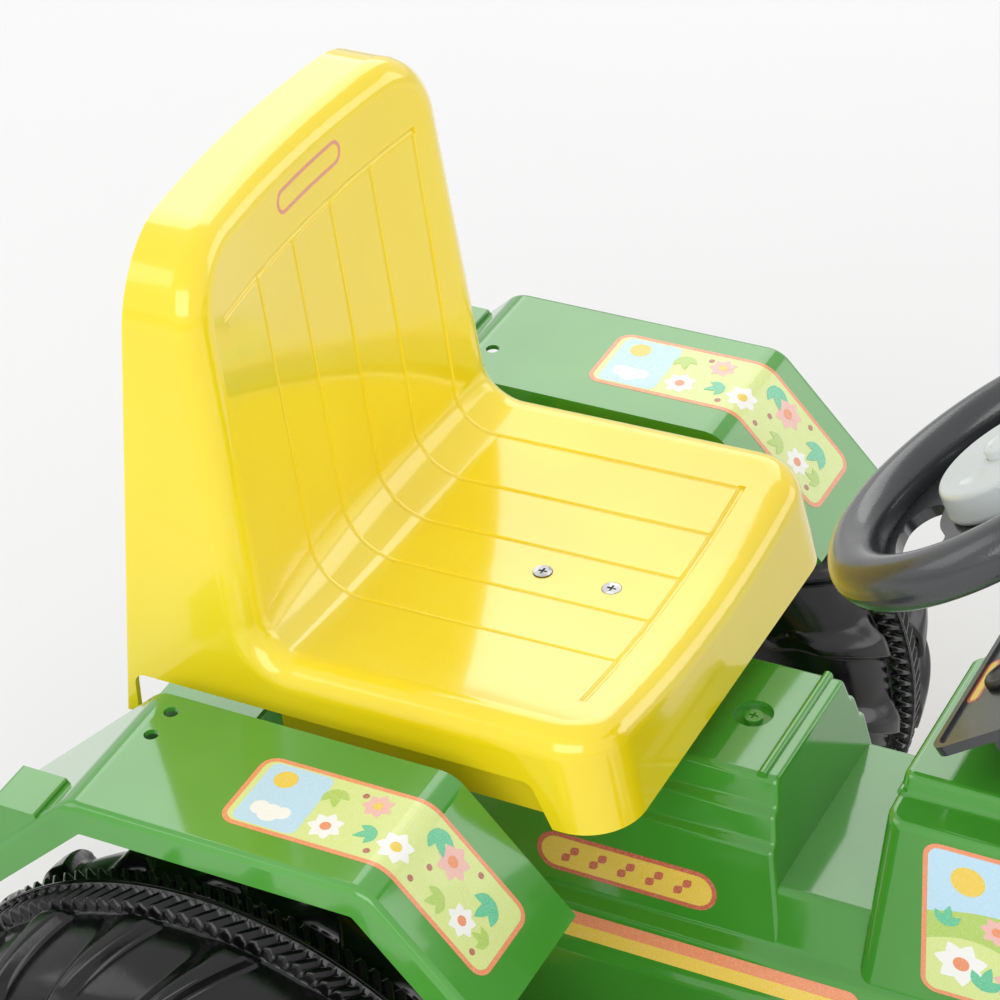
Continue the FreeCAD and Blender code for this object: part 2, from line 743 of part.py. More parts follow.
def body_plan(inset):
    """The body's outline from above, with round corners, as a tall prism."""
    reach = SILL_HALF - inset
    corners = [
        V(BODY_REAR_X + inset, -reach, 0),
        V(NOSE_X - inset, -reach, 0),
        V(NOSE_X - inset, reach, 0),
        V(BODY_REAR_X + inset, reach, 0),
    ]
    return prism(rounded_wire(corners, NOSE_CORNER_R - inset), Z_AXIS * STEER_Z)


def plane_edges(shape, x_low, z_low, x_high, z_high):
    """The edges that lie in a sloping cross plane, above the body's core."""
    chosen = []
    for edge in shape.Edges:
        ends = [vertex.Point for vertex in edge.Vertexes]
        in_plane = all(abs(p.x - along_slope(x_low, z_low, x_high, z_high, p.z)) < RUN_GAP for p in ends)
        if in_plane and max(p.z for p in ends) > CORE_Z + OVERRUN:
            chosen.append(edge)
    return chosen


def rising_edges(edges, foot_z, least_rise):
    """Those edges that start about as high as a foot, or higher, and rise by more than the least rise."""
    chosen = []
    for edge in edges:
        heights = sorted(vertex.Point.z for vertex in edge.Vertexes)
        if heights[0] > foot_z - OVERRUN and heights[-1] - heights[0] > least_rise:
            chosen.append(edge)
    return chosen


def pedestal_volume(inset):
    """The stepped pedestal under the seat; its outside has rounded front edges."""
    edge_r = BODY_EDGE_R if inset == 0 else BODY_EDGE_R / 2
    shape = section_prism(
        [
            (WALL_FOOT_HALF, CORE_Z),
            (WALL_FOOT_HALF, WALL_FOOT_Z),
            (LEDGE_HALF, LEDGE_Z),
            (LEDGE_HALF - LEDGE_DEPTH, LEDGE_Z + LEDGE_RISE),
            (UPPER_LEDGE_HALF, UPPER_LEDGE_Z),
            (UPPER_LEDGE_HALF - LEDGE_DEPTH, UPPER_LEDGE_Z + LEDGE_RISE),
            (PEDESTAL_TOP_HALF, PEDESTAL_TOP_Z),
        ],
        inset, edge_r, PEDESTAL_REAR_X + inset, PEDESTAL_FOOT_X + OVERRUN,
    )
    slope = (PEDESTAL_FOOT_X - inset, FLOOR_Z, PEDESTAL_TOP_X - inset, PEDESTAL_TOP_Z)
    shape = shape.cut(behind_slope(*slope, SILL_HALF, 1))
    return shape if inset > 0 else shape.makeFillet(PEDESTAL_END_R, plane_edges(shape, *slope))


def hood_volume(inset):
    """The hood, with rounded rear corners; its outside has rounded top edges too."""
    outline = moved_in(both_halves([
        (HOOD_FOOT_HALF, CORE_Z),
        (HOOD_FOOT_HALF, WALL_FOOT_Z),
        (HOOD_HALF, HOOD_LEDGE_Z),
        (HOOD_CROWN_HALF, HOOD_LEDGE_Z + LEDGE_RISE),
        (HOOD_CROWN_HALF - HOOD_CROWN_TAPER, HOOD_TOP_Z),
    ]), inset)
    start_x = HOOD_FOOT_X - OVERRUN
    shape = prism(polygon([V(start_x, y, z) for y, z in outline]), X_AXIS * (NOSE_X - inset - start_x))
    slope = (HOOD_FOOT_X + inset, FLOOR_Z, HOOD_TOP_X + inset, HOOD_LEDGE_Z)
    shape = shape.cut(behind_slope(*slope, SILL_HALF, -1))
    corners = rising_edges(plane_edges(shape, *slope), WALL_FOOT_Z, (HOOD_LEDGE_Z - WALL_FOOT_Z) / 2)
    shape = shape.makeFillet(HOOD_CORNER_R - inset, corners)
    if inset > 0:
        return shape
    corners = rising_edges(plane_edges(shape, *slope), HOOD_LEDGE_Z, HOOD_CROWN_RISE / 2)
    shape = shape.makeFillet(CROWN_CORNER_R, corners)
    tops = []
    for edge in shape.Edges:
        ends = [vertex.Point for vertex in edge.Vertexes]
        at_nose = all(p.x > NOSE_X - RUN_GAP for p in ends)
        if not at_nose and all(p.z > HOOD_LEDGE_Z - FACE_GAP for p in ends):
            tops.append(edge)
    return shape.makeFillet(BODY_EDGE_R, tops)


def body_volume(inset):
    """The outside of the body, or with an inset the space inside it, open at the bottom."""
    edge_r = BODY_EDGE_R if inset == 0 else BODY_EDGE_R / 2
    lower = section_prism(
        [
            (BODY_BOTTOM_HALF, BODY_BOTTOM_Z),
            (SILL_HALF, SILL_EDGE_Z),
            (STRIPE_FOOT_HALF, STRIPE_FOOT_Z),
            (STRIPE_TOP_HALF, STRIPE_TOP_Z),
            (WALL_FOOT_HALF, WALL_FOOT_Z),
            (FLOOR_HALF, FLOOR_Z),
        ],
        inset, edge_r, BODY_REAR_X + inset, NOSE_X - inset,
        None if inset == 0 else BODY_BOTTOM_Z - OVERRUN,
    )
    shape = joined([lower, pedestal_volume(inset), hood_volume(inset)])
    top_z = HOOD_TOP_Z - inset
    slope_top = side_prism(
        [
            (NOSE_SLOPE_X, top_z),
            (NOSE_X + OVERRUN, top_z - NOSE_DROP),
            (NOSE_X + OVERRUN, top_z + NOSE_DROP),
            (NOSE_SLOPE_X, top_z + NOSE_DROP),
        ],
        SILL_HALF,
    )
    return shape.cut(slope_top).common(body_plan(inset))


def axis_at(z):
    """Where the steering column's axis is at a height."""
    return STEER_CENTRE - COLUMN_UP * ((STEER_Z - z) / math.cos(TILT))


def dash_point(along, below):
    """A point in the middle of the dash: along its slope, and below its top face."""
    return STEER_CENTRE - COLUMN_UP * (DASH_DROP + below) + COLUMN_ALONG * along


def shell_boss(x, top_z):
    """A screw boss from the shell's top down to the chassis."""
    return tube(V(x, 0, CHASSIS_TOP_Z), V(x, 0, top_z - BODY_WALL), SCREW_R + RUN_GAP, BOSS_R)


def cup(x, top_z):
    """The recess for a screw head, cut into the shell's top."""
    floor = top_z - CUP_DEPTH
    return rod(V(x, 0, floor), V(x, 0, top_z + OVERRUN), CUP_R)


def cup_floor(x, top_z):
    """The thickened floor under a recess."""
    return rod(V(x, 0, top_z - CUP_DEPTH - BODY_WALL), V(x, 0, top_z - BODY_WALL), CUP_R + BODY_WALL)


def build_body():
    shell = body_volume(0).cut(body_volume(BODY_WALL))
    bead_half = Y_AXIS * PEDESTAL_TOP_HALF
    bead_middle = V(BEAD_X, 0, PEDESTAL_TOP_Z)
    bead = rod(bead_middle - bead_half, bead_middle + bead_half, BEAD_R)
    rim_bead_z = HOOD_LEDGE_Z + LEDGE_RISE
    hood_bead = rod(
        V(HOOD_TOP_X + BEAD_R, -HOOD_CROWN_HALF, rim_bead_z),
        V(HOOD_TOP_X + BEAD_R, HOOD_CROWN_HALF, rim_bead_z),
        BEAD_R,
    )
    bosses = [shell_boss(x, z) for x, z in SHELL_SCREWS]
    floors = [cup_floor(x, z) for x, z in SHELL_SCREWS]
    shell = joined([shell, bead, hood_bead] + bosses + floors)
    cuts = [cup(x, z) for x, z in SHELL_SCREWS]
    for x, z in SHELL_SCREWS:
        cuts.append(rod(V(x, 0, CHASSIS_TOP_Z - OVERRUN), V(x, 0, z), SCREW_R + RUN_GAP))
    for x, radius in ((0, REAR_AXLE_R + AXLE_HOLE_GAP), (CRANK_X, CRANK_R + CRANK_HOLE_GAP)):
        reach = V(0, SILL_HALF + OVERRUN, 0)
        cuts.append(rod(V(x, 0, AXLE_Z) - reach, V(x, 0, AXLE_Z) + reach, radius))
    cuts.append(box(
        V(NOSE_CUT_X, -SILL_HALF - OVERRUN, BODY_BOTTOM_Z - OVERRUN),
        V(NOSE_X + OVERRUN, SILL_HALF + OVERRUN, NOSE_BOTTOM_Z),
    ))
    top_crossing = axis_at(HOOD_TOP_Z)
    through = COLUMN_UP * (2 * BUSH_REACH)
    cuts.append(rod(top_crossing - through, top_crossing + through, SHAFT_R + 2 * BUSH_WALL))
    inner = GRILLE_RIM
    cuts.append(box(
        V(NOSE_X - BODY_WALL - OVERRUN, inner - GRILLE_HALF, GRILLE_BOTTOM_Z + inner),
        V(NOSE_X + OVERRUN, GRILLE_HALF - inner, GRILLE_TOP_Z - inner),
    ))
    for x in TRAY_SCREW_X:
        cuts.append(rod(V(x, -SILL_HALF, TRAY_SCREW_Z), V(x, SILL_HALF, TRAY_SCREW_Z), SCREW_R + RUN_GAP))
    slot_half = HITCH_HALF + FACE_GAP
    cuts.append(box(
        V(BODY_REAR_X - OVERRUN, -slot_half, HITCH_Z - FACE_GAP),
        V(BODY_REAR_X + BODY_WALL + OVERRUN, slot_half, HITCH_Z + HITCH_THICKNESS + FACE_GAP),
    ))
    pieces["body_shell"] = without(shell, cuts)
    pieces["shell_screws"] = group([
        screw(V(x, 0, z - CUP_DEPTH + SCREW_HEAD_HEIGHT), -Z_AXIS, z - CUP_DEPTH - CHASSIS_TOP_Z - CHASSIS_WALL)
        for x, z in SHELL_SCREWS
    ])


def tray_half(z):
    """The half width inside the shell's lower wall at a height."""
    outer = along_slope(BODY_BOTTOM_HALF, BODY_BOTTOM_Z, SILL_HALF, SILL_EDGE_Z, z)
    return outer - BODY_WALL - FACE_GAP


def build_undertray():
    low = BODY_BOTTOM_Z
    high = low + TRAY_LIP
    rear = BODY_REAR_X
    outline = [V(rear, tray_half(low), low), V(rear, tray_half(high), high)]
    outline += [V(p.x, -p.y, p.z) for p in reversed(outline)]
    inner = [
        V(rear, tray_half(low) - TRAY_THICKNESS, low + TRAY_THICKNESS),
        V(rear, tray_half(high) - TRAY_THICKNESS, high + OVERRUN),
    ]
    inner += [V(p.x, -p.y, p.z) for p in reversed(inner)]
    length = X_AXIS * (TRAY_FRONT_X - rear)
    hollow = prism(polygon(inner), length).common(body_plan(BODY_WALL + FACE_GAP + TRAY_THICKNESS))
    tray = prism(polygon(outline), length).common(body_plan(BODY_WALL + FACE_GAP)).cut(hollow)
    support = box(
        V(TRAY_SCREW_X[0], -CHASSIS_HALF, low), V(TRAY_SCREW_X[1], CHASSIS_HALF, CHASSIS_BOTTOM_Z)
    ).cut(box(
        V(TRAY_SCREW_X[0] + TRAY_THICKNESS, TRAY_THICKNESS - CHASSIS_HALF, low + TRAY_THICKNESS),
        V(TRAY_SCREW_X[1] - TRAY_THICKNESS, CHASSIS_HALF - TRAY_THICKNESS, CHASSIS_BOTTOM_Z + OVERRUN),
    ))
    tray = tray.fuse(support).removeSplitter()
    screws = []
    for x in TRAY_SCREW_X:
        tray = tray.cut(rod(V(x, -SILL_HALF, TRAY_SCREW_Z), V(x, SILL_HALF, TRAY_SCREW_Z), SCREW_R + RUN_GAP))
        for _, side in SIDES:
            wall = along_slope(BODY_BOTTOM_HALF, BODY_BOTTOM_Z, SILL_HALF, SILL_EDGE_Z, TRAY_SCREW_Z)
            head = V(x, side * (wall + SCREW_HEAD_HEIGHT + FACE_GAP), TRAY_SCREW_Z)
            screws.append(screw(head, -Y_AXIS * side, SCREW_LENGTH))
    pieces["undertray"] = tray
    pieces["tray_screws"] = group(screws)


# Chassis and front axle


def build_chassis():
    outer = box(
        V(CHASSIS_REAR_X, -CHASSIS_HALF, CHASSIS_BOTTOM_Z),
        V(BEAM_FRONT_X, CHASSIS_HALF, CHASSIS_TOP_Z),
    )
    inside = box(
        V(CHASSIS_REAR_X - OVERRUN, CHASSIS_WALL - CHASSIS_HALF, CHASSIS_BOTTOM_Z - OVERRUN),
        V(BEAM_FRONT_X + OVERRUN, CHASSIS_HALF - CHASSIS_WALL, CHASSIS_TOP_Z - CHASSIS_WALL),
    )
    wide = CHASSIS_HALF + OVERRUN
    window = box(
        V(WINDOW_REAR_X, -wide, CHASSIS_BOTTOM_Z - OVERRUN), V(BEAM_REAR_X, wide, WINDOW_TOP_Z)
    )
    over_beam = box(
        V(BEAM_REAR_X - OVERRUN, -wide, CHASSIS_BOTTOM_Z - OVERRUN), V(BEAM_FRONT_X + OVERRUN, wide, BEAM_TOP_Z)
    )
    cuts = [inside, window, over_beam]
    for x, radius in ((0, REAR_AXLE_R), (CRANK_X, CRANK_R)):
        cuts.append(rod(V(x, -wide, AXLE_Z), V(x, wide, AXLE_Z), radius + BUSH_WALL))
    cuts.append(rod(SHAFT_FOOT, STEER_CENTRE, SHAFT_R + BUSH_WALL))
    for x, _ in SHELL_SCREWS:
        cuts.append(rod(V(x, 0, CHASSIS_BOTTOM_Z), V(x, 0, CHASSIS_TOP_Z + OVERRUN), SCREW_R + RUN_GAP))
    for x in HITCH_BOLT_X:
        cuts.append(rod(V(x, 0, CHASSIS_BOTTOM_Z), V(x, 0, CHASSIS_TOP_Z + OVERRUN), SCREW_R + RUN_GAP))
    pieces["chassis_frame"] = without(outer, cuts)
    for node, x, radius in (("rear_axle_bushes", 0, REAR_AXLE_R), ("crank_bushes", CRANK_X, CRANK_R)):
        pieces[node] = group([side_bush(x, radius, side) for _, side in SIDES])
    foot = axis_at(CHASSIS_TOP_Z - CHASSIS_WALL / 2)
    pieces["steering_lower_bush"] = flanged_bush(
        foot - COLUMN_UP * BUSH_REACH, foot + COLUMN_UP * BUSH_REACH, SHAFT_R
    )


def flanged_bush(start, end, shaft_r):
    """A bush round a shaft, flanged at its far end."""
    up = (end - start).normalize()
    body = tube(start, end, shaft_r + RUN_GAP, shaft_r + BUSH_WALL)
    flange = tube(end, end + up * BUSH_FLANGE_HEIGHT, shaft_r + RUN_GAP, shaft_r + BUSH_WALL + BUSH_FLANGE)
    return body.fuse(flange).removeSplitter()


def side_bush(x, shaft_r, side):
    """A bush in one chassis wall, flanged on the outside."""
    inner = V(x, side * (CHASSIS_HALF - CHASSIS_WALL), AXLE_Z)
    outer = V(x, side * CHASSIS_HALF, AXLE_Z)
    return flanged_bush(inner, outer, shaft_r)


def build_front_axle():
    half = KINGPIN_HALF + BEAM_END
    outer = box(V(BEAM_REAR_X, -half, BEAM_BOTTOM_Z), V(BEAM_FRONT_X, half, BEAM_TOP_Z))
    inner_half = KINGPIN_HALF - BEAM_END
    hollow = box(
        V(BEAM_REAR_X + BEAM_WALL, -inner_half, BEAM_BOTTOM_Z + BEAM_WALL),
        V(BEAM_FRONT_X - BEAM_WALL, inner_half, BEAM_TOP_Z - BEAM_WALL),
    )
    slot = box(
        V(BEAM_REAR_X + BEAM_WALL, -inner_half, BEAM_BOTTOM_Z - OVERRUN),
        V(BEAM_FRONT_X - BEAM_WALL, inner_half, BEAM_BOTTOM_Z + BEAM_WALL),
    )
    cuts = [hollow, slot]
    for _, side in SIDES:
        y = side * KINGPIN_HALF
        cuts.append(rod(
            V(WHEELBASE, y, BEAM_BOTTOM_Z - OVERRUN), V(WHEELBASE, y, BEAM_TOP_Z + OVERRUN), KINGPIN_R + RUN_GAP
        ))
    pieces["front_axle_beam"] = without(outer, cuts)
    for name, side in SIDES:
        pieces[f"{name}_knuckle"] = knuckle(side)
        y = side * KINGPIN_HALF
        clip_z = BEAM_TOP_Z + FACE_GAP
        pieces[f"{name}_kingpin_clip"] = tube(
            V(WHEELBASE, y, clip_z), V(WHEELBASE, y, clip_z + CLIP_HEIGHT), KINGPIN_R, KINGPIN_R + CLIP_WALL
        )
        hub_end = FRONT_TRACK_HALF + FRONT_HUB_OUT + FACE_GAP
        pieces[f"front_{name}_nut"] = tube(
            V(WHEELBASE, side * hub_end, FRONT_TYRE_R),
            V(WHEELBASE, side * (hub_end + FRONT_NUT_LENGTH), FRONT_TYRE_R),
            STUB_R, FRONT_NUT_R,
        )


def knuckle(side):
    """A steering knuckle: kingpin, thrust shoulder, stub axle, and the arm that the tie rod pulls."""
    y = side * KINGPIN_HALF
    foot = V(WHEELBASE, y, FRONT_TYRE_R - KNUCKLE_FOOT)
    shoulder_top = V(WHEELBASE, y, BEAM_BOTTOM_Z - FACE_GAP)
    post = rod(foot, shoulder_top, SHOULDER_R)
    pin = rod(shoulder_top, V(WHEELBASE, y, KINGPIN_TOP_Z), KINGPIN_R)
    hub_start = FRONT_TRACK_HALF - FRONT_HUB_IN - FACE_GAP
    axle_end = FRONT_TRACK_HALF + FRONT_HUB_OUT + FACE_GAP + FRONT_NUT_LENGTH
    collar = rod(V(WHEELBASE, y, FRONT_TYRE_R), V(WHEELBASE, side * hub_start, FRONT_TYRE_R), STUB_R + CLIP_WALL)
    stub = rod(V(WHEELBASE, y, FRONT_TYRE_R), V(WHEELBASE, side * axle_end, FRONT_TYRE_R), STUB_R)
    arm = bar(V(WHEELBASE, y, ARM_BOTTOM_Z), V(TIE_X, y, ARM_BOTTOM_Z), ARM_HALF, ARM_TOP_Z - ARM_BOTTOM_Z)
    tie_pin = rod(V(TIE_X, y, ARM_TOP_Z), V(TIE_X, y, TIE_PIN_TOP_Z), TIE_PIN_R)
    return joined([post, pin, collar, stub, arm, tie_pin])


def bar(start, end, half, height):
    """A flat bar with round ends, standing up from its two end points."""
    along = (end - start).normalize()
    across = along.cross(Z_AXIS) * half
    edges = [
        Part.LineSegment(start + across, end + across).toShape(),
        Part.Arc(end + across, end + along * half, end - across).toShape(),
        Part.LineSegment(end - across, start - across).toShape(),
        Part.Arc(start - across, start - along * half, start + across).toShape(),
    ]
    return prism(Part.Wire(edges), Z_AXIS * height)


def build_tie_rod():
    low = ARM_TOP_Z + FACE_GAP
    strip = bar(V(TIE_X, -KINGPIN_HALF, low), V(TIE_X, KINGPIN_HALF, low), TIE_HALF, TIE_THICKNESS)
    slot_half = PITMAN_PIN_R + PITMAN_SLOT_GAP
    back = V(TIE_X - TIE_SLOT_LENGTH / 2, 0, low)
    front = V(TIE_X + TIE_SLOT_LENGTH, 0, low)
    plate = bar(back, front, TIE_SLOT_HALF, TIE_THICKNESS)
    slot = bar(back - Z_AXIS * OVERRUN, front - Z_AXIS * OVERRUN, slot_half, TIE_THICKNESS + 2 * OVERRUN)
    holes = []
    for _, side in SIDES:
        y = side * KINGPIN_HALF
        holes.append(rod(
            V(TIE_X, y, low - OVERRUN), V(TIE_X, y, low + TIE_THICKNESS + OVERRUN), TIE_PIN_R + RUN_GAP
        ))
    pieces["tie_rod"] = without(joined([strip, plate]), [slot] + holes)
    for name, side in SIDES:
        y = side * KINGPIN_HALF
        clip_z = low + TIE_THICKNESS + FACE_GAP
        pieces[f"{name}_tie_clip"] = tube(
            V(TIE_X, y, clip_z), V(TIE_X, y, clip_z + CLIP_HEIGHT), TIE_PIN_R, TIE_PIN_R + CLIP_WALL
        )


# Steering column


def column_point(drop, radius=0.0, angle=0.0):
    """A point below the steering wheel's middle plane, at a radius and an angle about the column."""
    around = COLUMN_ALONG * (radius * math.cos(angle)) + Y_AXIS * (radius * math.sin(angle))
    return STEER_CENTRE - COLUMN_UP * drop + around


def kidney(drop, depth, middle):
    """A finger gap through the steering wheel's web, bounded by two arcs and round corners."""
    half = math.radians(GAP_SPAN) / 2
    start = middle - half
    end = middle + half
    edges = [
        Part.Arc(column_point(drop, GAP_OUT_R, start), column_point(drop, GAP_OUT_R, middle),
                 column_point(drop, GAP_OUT_R, end)).toShape(),
        Part.LineSegment(column_point(drop, GAP_OUT_R, end), column_point(drop, GAP_IN_R, end)).toShape(),
        Part.Arc(column_point(drop, GAP_IN_R, end), column_point(drop, GAP_IN_R, middle),
                 column_point(drop, GAP_IN_R, start)).toShape(),
        Part.LineSegment(column_point(drop, GAP_IN_R, start), column_point(drop, GAP_OUT_R, start)).toShape(),
    ]
    shape = prism(Part.Wire(edges), -COLUMN_UP * depth)
    corner_r = (GAP_OUT_R - GAP_IN_R) * CORNER_SHARE
    upright = [e for e in shape.Edges if abs(abs(e.tangentAt(e.FirstParameter).dot(COLUMN_UP)) - 1) < RUN_GAP]
    return shape.makeFillet(corner_r, upright)


def build_steering():
    rim_ring = Part.makeTorus(RIM_CENTRE_R, RIM_TUBE_R, STEER_CENTRE, COLUMN_UP)
    web = rod(column_point(WEB_DROP + WEB_THICKNESS), column_point(WEB_DROP), RIM_CENTRE_R - RIM_TUBE_R / 2)
    boss = rod(column_point(STEER_BOSS_DEPTH), column_point(WEB_DROP), STEER_BOSS_R)
    shape = joined([rim_ring, web, boss])
    cuts = [rod(column_point(STEER_BOSS_DEPTH + OVERRUN), column_point(-OVERRUN), SHAFT_R + RUN_GAP)]
    for index in range(SPOKE_COUNT):
        middle = math.radians(180 + SPOKE_TURN + index * 360 / SPOKE_COUNT)
        cuts.append(kidney(WEB_DROP - OVERRUN, WEB_THICKNESS + 2 * OVERRUN, middle))
    pieces["steering_wheel"] = without(shape, cuts)
    nut = rod(column_point(WEB_DROP), column_point(WEB_DROP - SHAFT_NUT_HEIGHT), SHAFT_NUT_R)
    shaft_hole = rod(column_point(STEER_BOSS_DEPTH), column_point(-OVERRUN), SHAFT_R)
    pieces["steering_nut"] = nut.cut(shaft_hole)
    build_hub_cover()
    build_shaft()


def build_hub_cover():
    base = column_point(WEB_DROP)
    top_r = HUB_COVER_R - HUB_COVER_TAPER
    cover = Part.makeCone(HUB_COVER_R, top_r, HUB_COVER_HEIGHT, base, COLUMN_UP)
    hollow = Part.makeCone(
        HUB_COVER_R - HUB_COVER_WALL, top_r - HUB_COVER_WALL, HUB_COVER_HEIGHT - HUB_COVER_WALL, base, COLUMN_UP
    )
    rounded = cover.makeFillet(HUB_COVER_WALL, [e for e in cover.Edges if e.Closed and e.BoundBox.ZMax > base.z
                                                + HUB_COVER_HEIGHT * COLUMN_UP.z])
    top = WEB_DROP - HUB_COVER_HEIGHT
    cuts = [hollow, rod(column_point(WEB_DROP), column_point(top - OVERRUN), HORN_R + FACE_GAP)]
    for index in range(HUB_DIMPLE_COUNT):
        angle = math.radians(HUB_DIMPLE_TURN + index * 360 / HUB_DIMPLE_COUNT)
        ball_r = (HUB_DIMPLE_R ** 2 + HUB_DIMPLE_DEPTH ** 2) / (2 * HUB_DIMPLE_DEPTH)
        centre = column_point(top + HUB_DIMPLE_DEPTH - ball_r, HUB_DIMPLE_PLACE_R, angle)
        cuts.append(Part.makeSphere(ball_r, centre))
    pieces["steering_hub_cover"] = without(rounded, cuts)
    flange_top = top + HUB_COVER_WALL + FACE_GAP
    button = rod(column_point(flange_top), column_point(top - HORN_TRAVEL - HORN_FLANGE), HORN_R)
    button = button.makeFillet(HORN_FLANGE, [button.Edges[0]])
    flange = rod(column_point(flange_top + HORN_FLANGE_HEIGHT), column_point(flange_top), HORN_R + HORN_FLANGE)
    pieces["horn_button"] = joined([button, flange])


def build_shaft():
    top = column_point(WEB_DROP - SHAFT_NUT_HEIGHT + FACE_GAP)
    knee = PITMAN_KNEE
    bent = pipe(rounded_wire([top, SHAFT_FOOT, knee], SHAFT_BEND_R, closed=False), SHAFT_R)
    pin_length = PITMAN_PIN_ABOVE + PITMAN_PIN_BELOW
    pin = rod(knee + COLUMN_UP * SHAFT_R, knee - COLUMN_UP * pin_length, PITMAN_PIN_R)
    eye = rod(knee + COLUMN_UP * SHAFT_R, knee - COLUMN_UP * SHAFT_R, SHAFT_R + CLIP_WALL / 2)
    pieces["steering_shaft"] = joined([bent, eye, pin])
    collar_top = dash_point(0, -COLLAR_HEIGHT)
    pieces["steering_upper_bush"] = flanged_bush(dash_point(0, DASH_THICKNESS), collar_top, SHAFT_R)


def build_dash():
    corners = [
        dash_point(-DASH_BACK, DASH_THICKNESS) - Y_AXIS * DASH_HALF,
        dash_point(DASH_FRONT, DASH_THICKNESS) - Y_AXIS * DASH_HALF,
        dash_point(DASH_FRONT, DASH_THICKNESS) + Y_AXIS * DASH_HALF,
        dash_point(-DASH_BACK, DASH_THICKNESS) + Y_AXIS * DASH_HALF,
    ]
    plate = prism(rounded_wire(corners, DASH_CORNER_R), COLUMN_UP * DASH_THICKNESS)
    inner = [
        dash_point(DASH_RIM - DASH_BACK, DASH_RIM / 2) - Y_AXIS * (DASH_HALF - DASH_RIM),
        dash_point(DASH_FRONT - DASH_RIM, DASH_RIM / 2) - Y_AXIS * (DASH_HALF - DASH_RIM),
        dash_point(DASH_FRONT - DASH_RIM, DASH_RIM / 2) + Y_AXIS * (DASH_HALF - DASH_RIM),
        dash_point(DASH_RIM - DASH_BACK, DASH_RIM / 2) + Y_AXIS * (DASH_HALF - DASH_RIM),
    ]
    recess = prism(rounded_wire(inner, DASH_CORNER_R - DASH_RIM), COLUMN_UP * DASH_THICKNESS)
    collar = rod(dash_point(0, DASH_RIM), dash_point(0, -COLLAR_HEIGHT), COLLAR_R)
    hole_foot = dash_point(0, DASH_THICKNESS + OVERRUN)
    hole = rod(hole_foot, dash_point(0, -COLLAR_HEIGHT - OVERRUN), SHAFT_R + BUSH_WALL)
    plug_foot = dash_point(PLUG_SETBACK - DASH_BACK, DASH_RIM / 2)
    stem_foot = plug_foot - COLUMN_UP * PLUG_STEM_LENGTH
    plug_hole = rod(stem_foot, plug_foot + COLUMN_UP * OVERRUN, PLUG_STEM_R + RUN_GAP)
    panel = joined([plate.cut(recess), collar, dash_skirt()])
    pieces["dash_panel"] = without(panel, [hole, plug_hole])
    head = rod(plug_foot, plug_foot + COLUMN_UP * PLUG_HEIGHT, PLUG_R)
    rim_edges = [e for e in head.Edges if e.Closed and e.CenterOfMass.z > plug_foot.z + PLUG_HEIGHT / 2]
    head = head.makeFillet(PLUG_EDGE_R, rim_edges)
    pieces["dash_plug"] = joined([head, rod(stem_foot, plug_foot, PLUG_STEM_R)])


def skirt_prism(inset):
    """The skirt's outside, or with an inset its inside, square to the dash and cut off at the hood's top."""
    rear = SKIRT_SETBACK - DASH_BACK + inset
    front = DASH_FRONT - SKIRT_INSET - inset
    half = Y_AXIS * (DASH_HALF - SKIRT_INSET - inset)
    top = DASH_THICKNESS - DASH_RIM / 2
    corners = [
        dash_point(rear, top) - half, dash_point(front, top) - half,
        dash_point(front, top) + half, dash_point(rear, top) + half,
    ]
    return prism(polygon(corners), -COLUMN_UP * STEER_Z)


def dash_skirt():
    """The hollow stem that carries the dash on the hood."""
    reach = STEER_Z * 2
    below = box(V(-reach, -reach, -reach), V(reach, reach, HOOD_TOP_Z))
    return skirt_prism(0).cut(skirt_prism(SKIRT_WALL)).cut(below)


# Drive


def build_drive():
    hub_end = REAR_TRACK_HALF + REAR_HUB_OUT + FACE_GAP
    axle_half = hub_end + NUT_LENGTH
    pieces["rear_axle"] = rod(V(0, -axle_half, AXLE_Z), V(0, axle_half, AXLE_Z), REAR_AXLE_R)
    pieces["rear_axle_nuts"] = group([
        tube(V(0, side * hub_end, AXLE_Z), V(0, side * axle_half, AXLE_Z), REAR_AXLE_R, NUT_R)
        for _, side in SIDES
    ])
    bush_end = CHASSIS_HALF + BUSH_FLANGE_HEIGHT + FACE_GAP
    hub_start = REAR_TRACK_HALF - REAR_HUB_IN - FACE_GAP
    sprocket_side = -SPROCKET_Y + SPROCKET_HUB_LENGTH / 2
    pieces["rear_axle_spacers"] = group([
        tube(V(0, -sprocket_side, AXLE_Z), V(0, -hub_start, AXLE_Z), REAR_AXLE_R, REAR_AXLE_R + SPACER_WALL),
        tube(V(0, bush_end, AXLE_Z), V(0, hub_start, AXLE_Z), REAR_AXLE_R, REAR_AXLE_R + SPACER_WALL),
    ])
    pieces["rear_sprocket"] = sprocket(0, REAR_AXLE_R)
    pieces["crank_sprocket"] = sprocket(CRANK_X, CRANK_R)
    pieces["drive_chain"] = chain()
    build_crank()


